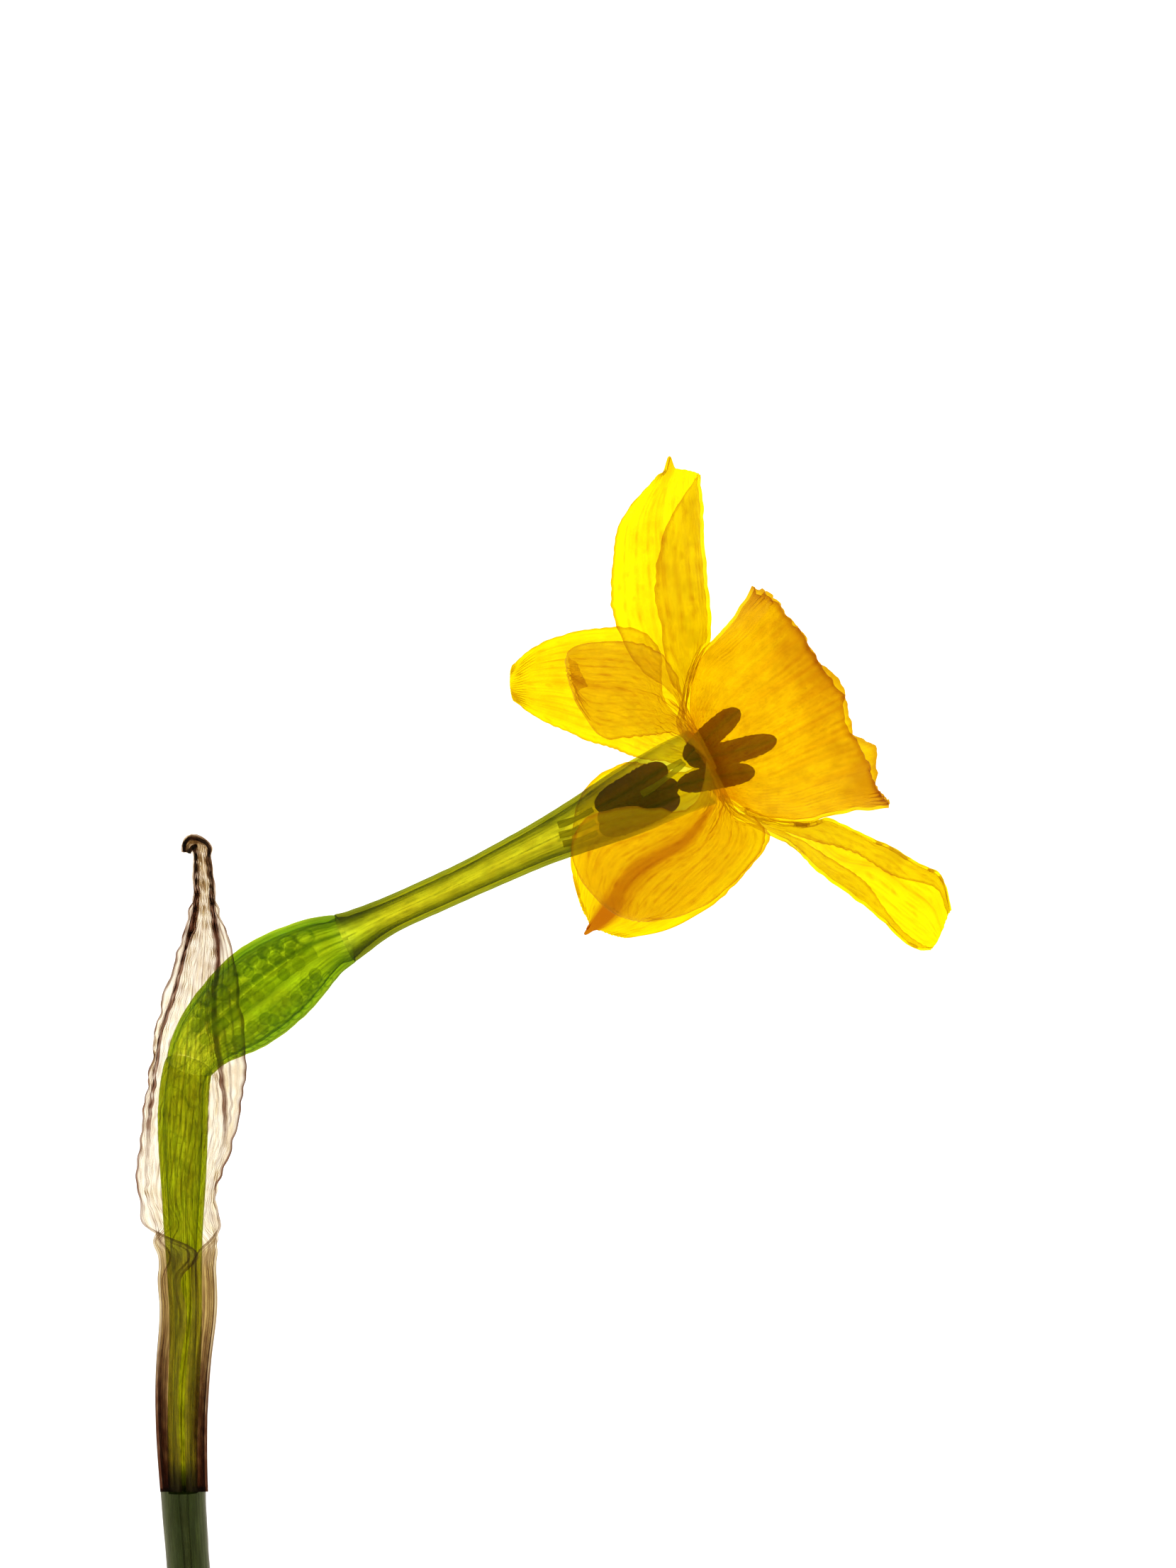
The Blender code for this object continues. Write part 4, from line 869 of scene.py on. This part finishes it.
for name, look in TEPAL_LOOKS.items():
    rows, cols = look["size"]
    net = TEPALS[name]
    net = base_rows(*look["base"], len(net[0]), "outer" in name) + list(net[1:])
    grid = off_the_cup(net_surface(net, rows, cols))
    s, u = np.linspace(0, 1, rows)[:, None], np.linspace(0, 1, cols)[None, :]
    edge = np.minimum(u, 1 - u)
    margin = smooth(-edge, -0.16, 0.0)
    normal = normals_of(grid)
    seed = look["seed"]
    wave = look["ruffle"] * margin * np.sin(s * 34 + 3 * np.sin(s * 9 + seed) + 4 * (u > 0.5)) * smooth(s, 0.1, 0.35)
    wave = wave + 0.06 * ripple(u * 2, s * 3, seed + 1) * smooth(s, 0.05, 0.25)
    wave = wave + 0.018 * np.cos(u * 2 * math.pi * 15 + 0.9 * np.sin(4 * s)) * (1 - smooth(s, 0.8, 1.0))
    wave = wave - 0.10 * bell(u - look["rib"] + 0 * s, 0.03) * (1 - smooth(s, 0.7, 1.0))
    grid = grid + normal * wave[..., None]
    # a ragged, slightly uneven outline
    outward = np.gradient(grid, axis=1)
    outward /= np.maximum(np.linalg.norm(outward, axis=2, keepdims=True), 1e-9)
    nibble = 0.05 * ripple(s * 6 + 0 * u, 3 * (u > 0.5) + 0 * s, seed + 2, high=5.0) * smooth(-edge, -0.08, 0.0) * smooth(s, 0.1, 0.3)
    grid = grid + outward * (np.where(u > 0.5, 1.0, -1.0) * nibble)[..., None]
    if look["tip"]:
        reach_by, where_u, width = look["tip"]
        point = bell(u - where_u, width) * smooth(s, 0.965, 1.0) + 0.35 * bell(u - where_u, width * 2.4) * smooth(s, 0.93, 1.0)
        grid = grid + np.array(reach_by) * point[..., None]
    thick = 0.30 - 0.12 * margin + 0.10 * bell(u - look["rib"], 0.05) * (1 - s) - 0.04 * smooth(s, 0.8, 1.0)
    tone = np.zeros((rows, cols, 3))
    phase = (u - look["rib"]) * 2 * math.pi * 15 * (1 - 0.15 * s) + 0.9 * np.sin(3.5 * s + 2 * u + seed) + 0.35 * np.sin(19 * s + 5 * u)
    fan = np.clip(np.cos(phase) * 2.6 - 1.9, 0, 1)
    tone[..., 0] = 0.55 * fan * (1 - 0.5 * smooth(s, 0.8, 1.0)) * (1 - 0.6 * margin) * (0.55 + 0.45 * ripple(u * 3, s * 3, seed + 5))
    tone[..., 0] += 0.22 * np.clip(np.cos(phase * 2.7 + 1.3 * np.sin(9 * s)) * 2.0 - 1.4, 0, 1) * (1 - margin)
    tone[..., 0] += look["dark"] * bell(u - look["rib"] - 0.02 * np.sin(5 * s), 0.022 + 0.06 * s * (1 - s)) * smooth(s, 0.05, 0.3)
    if look["dark"] > 0.5:
        band = bell(u - look["rib"] + 0.03 * (1 - s), 0.075 + 0.02 * np.sin(7 * s)) * smooth(s, 0.15, 0.75)
        tone[..., 0] += 0.72 * band * (0.8 + 0.2 * np.cos(phase * 1.6)) + 0.9 * bell(u - look["rib"], 0.08) * smooth(s, 0.76, 0.97)
    tone[..., 0] += 0.20 * smooth(ripple(u * 4, s * 4, seed + 3, high=5.0), 0.8, 1.5)
    tone[..., 0] += 0.35 * smooth(-edge, -0.018, -0.004) * smooth(s, 0.1, 0.3)
    tone[..., 1] = 0.45 * margin * (1 - smooth(-edge, -0.03, -0.01)) + 0.25 * smooth(-s, -0.15, 0.0)
    if look["tip"]:
        tone[..., 0] += (0.9 if look["dark"] > 0.5 else 0.25) * bell(u - look["tip"][1], 0.05) * smooth(s, 0.90, 1.0)
    tone[..., 1] += look.get("pale", 0.0)
    tone[..., 2] = look["warm"] + 0.5 * smooth(-s, -0.25, -0.02) + 0.25 * smooth(ripple(u * 2, s * 2, seed + 6), 0.2, 1.2)
    uv = np.stack(np.broadcast_arrays(u, s), -1)
    leaf(name.replace("tepal", "petal"), grid, thick, uv, np.clip(tone, 0, 1), TEPAL, name)

# ---------------------------------------------------------------- spathe
SPATHE = [
    [(-30.49, -34.06, 4.22), (-31.73, -34.11, 3.38), (-31.81, -34.23, 1.64), (-30.39, -34.29, 0.76), (-28.9, -34.23, 1.64), (-28.85, -34.11, 3.38), (-30.03, -34.06, 4.22)],
    [(-30.7, -29.34, 4.4), (-32.03, -29.39, 3.51), (-32.11, -29.5, 1.67), (-30.59, -29.56, 0.74), (-28.99, -29.5, 1.67), (-28.93, -29.39, 3.51), (-30.2, -29.34, 4.4)],
    [(-30.43, -22.6, 4.71), (-31.89, -22.65, 3.77), (-31.97, -22.75, 1.81), (-30.3, -22.8, 0.83), (-28.56, -22.75, 1.81), (-28.5, -22.65, 3.77), (-29.88, -22.6, 4.71)],
    [(-30.19, -19.23, 4.83), (-31.7, -19.28, 3.86), (-31.79, -19.37, 1.86), (-30.05, -19.42, 0.85), (-28.23, -19.37, 1.86), (-28.17, -19.28, 3.86), (-29.62, -19.23, 4.83)],
    [(-30.27, -16.7, 4.96), (-31.8, -16.75, 3.95), (-31.89, -16.84, 1.87), (-30.13, -16.89, 0.82), (-28.3, -16.84, 1.87), (-28.24, -16.75, 3.95), (-29.69, -16.7, 4.96)],
    [(-29.37, -14.97, 4.9), (-31.52, -15.0, 4.3), (-32.14, -15.07, 2.6), (-30.3, -15.15, 0.75), (-28.11, -15.08, 2.4), (-28.21, -15.0, 4.2), (-29.08, -14.97, 5.0)],
    [(-30.94, -14.19, 4.8), (-32.22, -14.24, 3.5), (-32.36, -14.33, 1.5), (-30.31, -14.37, 0.6), (-28.31, -14.33, 1.4), (-27.85, -14.25, 3.4), (-28.25, -14.19, 4.8)],
    [(-32.88, -13.39, 3.9), (-32.48, -13.44, 2.6), (-31.64, -13.51, 1.0), (-30.31, -13.53, 0.5), (-29.0, -13.51, 1.0), (-27.93, -13.43, 2.8), (-27.54, -13.37, 4.3)],
    [(-33.75, -11.45, 3.2), (-33.07, -11.5, 2.0), (-32.1, -11.54, 0.8), (-30.71, -11.56, 0.45), (-29.29, -11.54, 0.9), (-28.28, -11.48, 2.4), (-27.83, -11.42, 3.9)],
    [(-34.09, -9.21, 3.0), (-33.36, -9.26, 1.8), (-32.22, -9.3, 0.7), (-30.71, -9.31, 0.4), (-29.12, -9.29, 0.8), (-28.01, -9.25, 2.0), (-27.45, -9.19, 3.6)],
    [(-33.87, -6.97, 3.0), (-33.3, -7.0, 1.9), (-31.99, -7.04, 0.7), (-30.32, -7.05, 0.4), (-28.61, -7.04, 0.8), (-27.34, -7.0, 1.9), (-26.62, -6.96, 3.3)],
    [(-33.48, -3.88, 2.9), (-33.12, -3.91, 2.1), (-31.65, -3.94, 0.8), (-29.87, -3.96, 0.4), (-28.28, -3.94, 0.8), (-27.12, -3.92, 1.7), (-25.9, -3.88, 3.0)],
    [(-32.98, -0.8, 2.8), (-32.65, -0.8, 2.5), (-31.31, -0.85, 0.9), (-29.7, -0.86, 0.4), (-28.28, -0.85, 0.8), (-27.46, -0.83, 1.6), (-25.45, -0.79, 2.9)],
    [(-32.58, 2.58, 2.9), (-32.07, 2.58, 3.0), (-30.85, 2.53, 1.1), (-29.53, 2.52, 0.4), (-28.56, 2.53, 0.8), (-27.95, 2.55, 2.0), (-25.63, 2.57, 2.6)],
    [(-31.85, 5.38, 3.0), (-31.11, 5.39, 3.2), (-30.28, 5.35, 1.3), (-29.36, 5.34, 0.5), (-28.61, 5.35, 1.0), (-27.94, 5.37, 2.5), (-26.03, 5.37, 2.5)],
    [(-30.95, 8.19, 3.0), (-30.37, 8.2, 3.4), (-29.82, 8.17, 1.8), (-29.12, 8.16, 0.9), (-28.31, 8.17, 1.4), (-27.59, 8.19, 2.9), (-26.36, 8.19, 2.7)],
    [(-30.1, 11.0, 3.2), (-29.64, 11.0, 3.5), (-29.29, 10.99, 2.3), (-28.87, 10.98, 1.6), (-28.4, 10.99, 2.2), (-27.91, 11.0, 3.3), (-27.35, 11.0, 3.1)],
    [(-29.64, 12.69, 3.5), (-29.35, 12.69, 3.8), (-29.1, 12.68, 2.8), (-28.79, 12.67, 2.2), (-28.43, 12.68, 2.7), (-28.06, 12.69, 3.7), (-27.85, 12.69, 3.5)],
    [(-29.56, 14.94, 4.2), (-29.33, 14.94, 4.4), (-29.14, 14.93, 3.5), (-28.87, 14.93, 3.0), (-28.52, 14.93, 3.5), (-28.21, 14.94, 4.4), (-28.05, 14.94, 4.2)],
    [(-29.54, 16.4, 4.8), (-29.36, 16.4, 5.0), (-29.16, 16.4, 4.3), (-28.95, 16.39, 3.9), (-28.6, 16.4, 4.3), (-28.3, 16.4, 5.0), (-28.14, 16.4, 4.8)],
    [(-29.58, 16.96, 5.1), (-29.45, 17.01, 5.2), (-29.27, 17.08, 4.85), (-29.06, 17.16, 4.7), (-28.85, 17.23, 4.85), (-28.64, 17.31, 5.2), (-28.52, 17.35, 5.1)],
    [(-29.41, 16.85, 5.3), (-29.41, 16.97, 5.4), (-29.43, 17.13, 5.05), (-29.45, 17.32, 4.9), (-29.46, 17.52, 5.05), (-29.45, 17.69, 5.4), (-29.46, 17.8, 5.3)],
    [(-29.64, 16.68, 5.2), (-29.71, 16.76, 5.3), (-29.83, 16.88, 4.95), (-29.96, 17.02, 4.8), (-30.08, 17.15, 4.95), (-30.17, 17.27, 5.3), (-30.25, 17.35, 5.2)],
    [(-29.81, 16.46, 4.9), (-29.88, 16.48, 5.0), (-29.99, 16.51, 4.65), (-30.11, 16.54, 4.5), (-30.22, 16.57, 4.65), (-30.3, 16.6, 5.0), (-30.37, 16.62, 4.9)],
]

rows, cols = 300, 130
grid = net_surface(SPATHE, rows, cols, shared=True)
shared_knots = np.mean([knots_of(row) for row in np.asarray(SPATHE, float)], axis=0)
s, u = np.linspace(0, 1, rows)[:, None], np.linspace(0, 1, cols)[None, :]
rib_a, rib_b = shared_knots[1], shared_knots[5]
normal = normals_of(grid)
blade = smooth(grid[..., 1], -17.5, -13.0)
edge = np.minimum(u, 1 - u)
lift = smooth(grid[..., 1], -8.0, -3.0)
rib = np.maximum(bell(u - rib_a + 0 * s, 0.021) * (0.25 + 0.75 * lift), bell(u - rib_b + 0 * s, 0.017) * (0.15 + 0.85 * lift))
rib = np.maximum(rib, smooth(grid[..., 1], 7.5, 10.5) * np.maximum(bell(u - rib_a, 0.05), bell(u - rib_b, 0.05)))
veins = np.clip(np.cos(u * 2 * math.pi * 24 + 1.3 * np.sin(6 * s + 3 * u) + 0.5 * np.sin(23 * s + 9 * u)) * 3.0 - 2.0, 0, 1)
wave = 0.035 * veins + 0.09 * ripple(u * 2, s * 7, 201) * blade + 0.06 * ripple(u * 5, s * 12, 202) * blade
wave = wave - 0.10 * rib * blade
crease = bell(u - 0.30 + 0.9 * (s - 0.40) * 0 + 0 * s, 0.05) * bell(s - 0.42, 0.02)
outward = np.gradient(grid, axis=1)
outward /= np.maximum(np.linalg.norm(outward, axis=2, keepdims=True), 1e-9)
nibble = 0.10 * ripple(s * 8 + 0 * u, 2 * (u > 0.5) + 0 * s, 203, high=4.0) * smooth(-edge, -0.07, 0.0) * blade
grid = grid + normal * wave[..., None] + outward * (np.where(u > 0.5, 1.0, -1.0) * nibble)[..., None]
y = grid[..., 1]
tone = np.zeros((rows, cols, 3))
across = np.abs(u - 0.5) * 2
flank = smooth(across, 0.18, 0.42) * (1 - smooth(across, 0.78, 0.95))
tone[..., 0] = 0.66 * veins * (0.7 + 0.3 * ripple(u * 3, s * 3, 204)) * (1.25 - 0.25 * blade) + 0.06 * smooth(y, 2.0, 8.0)
tone[..., 0] += 1.3 * rib * blade * (0.9 + 0.1 * ripple(u, s * 20, 205)) * (1 - 0.45 * smooth(y, 12.0, 14.5))
tone[..., 0] += 0.55 * smooth(-edge, -0.022, 0.0) * smooth(y, -19.0, -16.0)
tone[..., 0] += 0.14 * smooth(ripple(u * 4, s * 5, 206, high=6.0), 0.7, 1.4) * blade
tone[..., 0] += (0.30 + 0.85 * smooth(-y, 19.0, 30.0)) * flank * (1 - blade) * (0.8 + 0.2 * ripple(u * 5, s * 8, 210)) + 0.22 * smooth(-y, 31.0, 34.0)
tone[..., 2] = 0.8 * (1 - blade) + 0.3 * blade * smooth(ripple(u * 3, s * 5, 208), 0.2, 1.0)
tone[..., 1] = 0.55 * blade * smooth(ripple(u * 2, s * 6, 207), -0.2, 0.7) * (1 - smooth(y, 10.0, 13.0))
uv = np.stack(np.broadcast_arrays(u, s), -1)
leaf("spathe_bract", grid, 0.16 + 0.10 * rib + 0.06 * (1 - blade), uv, np.clip(tone, 0, 1), SPATHE_PAPER, "spathe")

# ---------------------------------------------------------------- stamens and style
STAMENS = [
    ("upper_1", (-5.6, 1.25, -0.75), (-0.9, 1.05, -0.70), (4.3, 2.60, 0.3)),
    ("upper_2", (-5.4, 0.05, 1.45), (-1.0, 0.85, 1.20), (5.5, -0.85, 2.0)),
    ("upper_3", (-6.0, -1.20, -0.80), (-2.4, -0.60, -1.05), (3.1, -2.20, -1.4)),
    ("lower_1", (-12.2, 0.75, 0.40), (-9.0, 0.70, 0.48), (-2.5, 1.15, 0.75)),
    ("lower_2", (-12.6, -0.75, 0.40), (-9.6, -1.10, 0.40), (-2.8, -1.45, 0.70)),
    ("lower_3", (-12.4, 0.00, -0.90), (-9.2, -0.30, -1.00), (-2.2, -0.40, -1.3)),
]
back = tube_path[::-1]
back_length = np.concatenate([[0.0], np.cumsum(np.linalg.norm(np.diff(back, axis=0), axis=1))])


def in_flower(a, p, q):
    centre = from_axis(a, 0, 0) if a >= 0 else np.array([np.interp(-a, back_length, back[:, k]) for k in range(3)])
    return centre + CROSS * p + RISE * q


def rod_grid(points, radii, segments):
    tangent, sides, ups = cross_frames(points)
    lon = turns(segments)
    radii = np.broadcast_to(np.asarray(radii, float).reshape(len(points), -1), (len(points), segments))
    return (
        np.asarray(points)[:, None]
        + sides[:, None] * (radii * np.cos(lon))[:, :, None]
        + ups[:, None] * (radii * np.sin(lon))[:, :, None]
    )


for number, (name, foot, low, high) in enumerate(STAMENS):
    foot, low, high = in_flower(*foot), in_flower(*low), in_flower(*high)
    # the pod: two long lobes with a groove on each side, a little crooked
    rings, segs = 54, 40
    w = np.linspace(0, 1, rings)
    lane = low + np.outer(w, high - low)
    bow = np.cross(high - low, UP)
    bow /= np.linalg.norm(bow)
    lane = lane + np.outer(np.sin(w * math.pi) * (0.12 if number % 2 else -0.10), bow) + np.outer(np.sin(w * math.pi) * 0.10, UP)
    lon = turns(segs)
    ends = np.sqrt(np.clip(1 - np.abs(2 * w - 1) ** 3.2, 0.0009, 1))
    wide = 0.92 if name.startswith("upper") else 1.16
    section = 0.62 + 0.38 * np.abs(np.cos(lon)) ** 0.8 - 0.26 * bell(np.mod(lon, math.pi) - math.pi / 2, 0.20)
    rough = 1 + 0.05 * ripple(lon[None, :] / 6.283 * 4, w[:, None] * 5, 300 + number, high=5.0)
    pod = rod_grid(lane, ends[:, None] * wide * section[None, :] * rough, segs)
    tn = np.zeros((rings, segs, 3))
    tn[..., 0] = 0.8 * bell(np.mod(lon, math.pi) - math.pi / 2, 0.25)[None, :] + 0.25 * np.clip(ripple(lon[None, :] / 3, w[:, None] * 4, 310 + number), 0, 1)
    tn[..., 1] = 0.30 * np.clip(np.cos(2 * lon), 0, 1)[None, :]
    gather("pod_" + name, [pod], ANTHER, "anther_" + name, [np.clip(tn, 0, 1)])
    # the filament, tapering to the pod
    rings, segs = 30, 16
    w = np.linspace(0, 1, rings)
    stop = low + (foot - low) / np.linalg.norm(foot - low) * 0.2
    lane = foot + np.outer(w, stop - foot) + np.outer(np.sin(w * math.pi) * 0.12, bow)
    gather("thread_" + name, [rod_grid(lane, 0.27 - 0.08 * w + 0.03 * np.sin(w * 9), segs)], THREAD, "filament_" + name, [np.zeros(3)])

rings, segs = 110, 20
top = 4.9
at = np.linspace(-33.2, top, rings)
lean = np.where(at < -3, 0.0, 0.9 * (at + 3) / (top + 3))
lane = np.array([in_flower(a, -l, -0.15 * l) for a, l in zip(at, lean)])
lane[1:-1] = (lane[:-2] + lane[1:-1] + lane[2:]) / 3
w = np.linspace(0, 1, rings)
width = 0.26 + 0.34 * smooth(w, 0.965, 0.99) - 0.12 * smooth(w, 0.993, 1.0)
lobed = 1 + 0.25 * smooth(w, 0.965, 0.99)[:, None] * np.cos(3 * turns(segs))[None, :]
gather("style_and_stigma", [rod_grid(lane, width[:, None] * lobed, segs)], THREAD, "style", [np.zeros(3)])

# ---------------------------------------------------------------- surface, light, camera
floor_mesh = bpy.data.meshes.new("floor")
span = 3.0
floor_mesh.from_pydata([(-span, -span, 0), (span, -span, 0), (span, span, 0), (-span, span, 0)], [], [(0, 1, 2, 3)])
floor = bpy.data.objects.new("floor", floor_mesh)
bpy.context.scene.collection.objects.link(floor)
floor.location = (0, 0, -0.0002)
paper = bpy.data.materials.new("glowing_paper")
paper.use_nodes = True
shader = paper.node_tree.nodes["Principled BSDF"]
shader.inputs["Base Color"].default_value = (0.9, 0.9, 0.9, 1)
shader.inputs["Roughness"].default_value = 0.9
shader.inputs["Specular IOR Level"].default_value = 0.0
shader.inputs["Emission Color"].default_value = (1.0, 1.0, 1.0, 1)
shader.inputs["Emission Strength"].default_value = FLOOR_GLOW
floor_mesh.materials.append(paper)

world = bpy.data.worlds.new("studio")
world.use_nodes = True
bpy.context.scene.world = world
sky = world.node_tree.nodes["Background"]
sky.inputs["Color"].default_value = (1.0, 1.0, 1.0, 1)
sky.inputs["Strength"].default_value = SKY

lamp_data = bpy.data.lights.new("soft_light", "AREA")
lamp_data.shape = "DISK"
lamp_data.size = 0.5
lamp_data.energy = LAMP
lamp = bpy.data.objects.new("soft_light", lamp_data)
lamp.location = (-0.25, 0.30, 0.6)
lamp.rotation_euler = (math.radians(-25), math.radians(-22), 0)
bpy.context.scene.collection.objects.link(lamp)

camera_data = bpy.data.cameras.new("camera")
camera_data.type = "PERSP"
camera_data.lens = 250
camera_data.sensor_width = 36
camera_data.sensor_fit = "AUTO"
camera_data.clip_start = 0.01
camera_data.clip_end = 20
camera = bpy.data.objects.new("camera", camera_data)
camera.location = tuple(place((1.64, 21.89, 865.0)))
camera.rotation_euler = (0, 0, 0)
bpy.context.scene.collection.objects.link(camera)
bpy.context.scene.camera = camera

scene = bpy.context.scene
scene.view_settings.view_transform = "Standard"
scene.view_settings.look = "None"
scene.cycles.transparent_max_bounces = 40
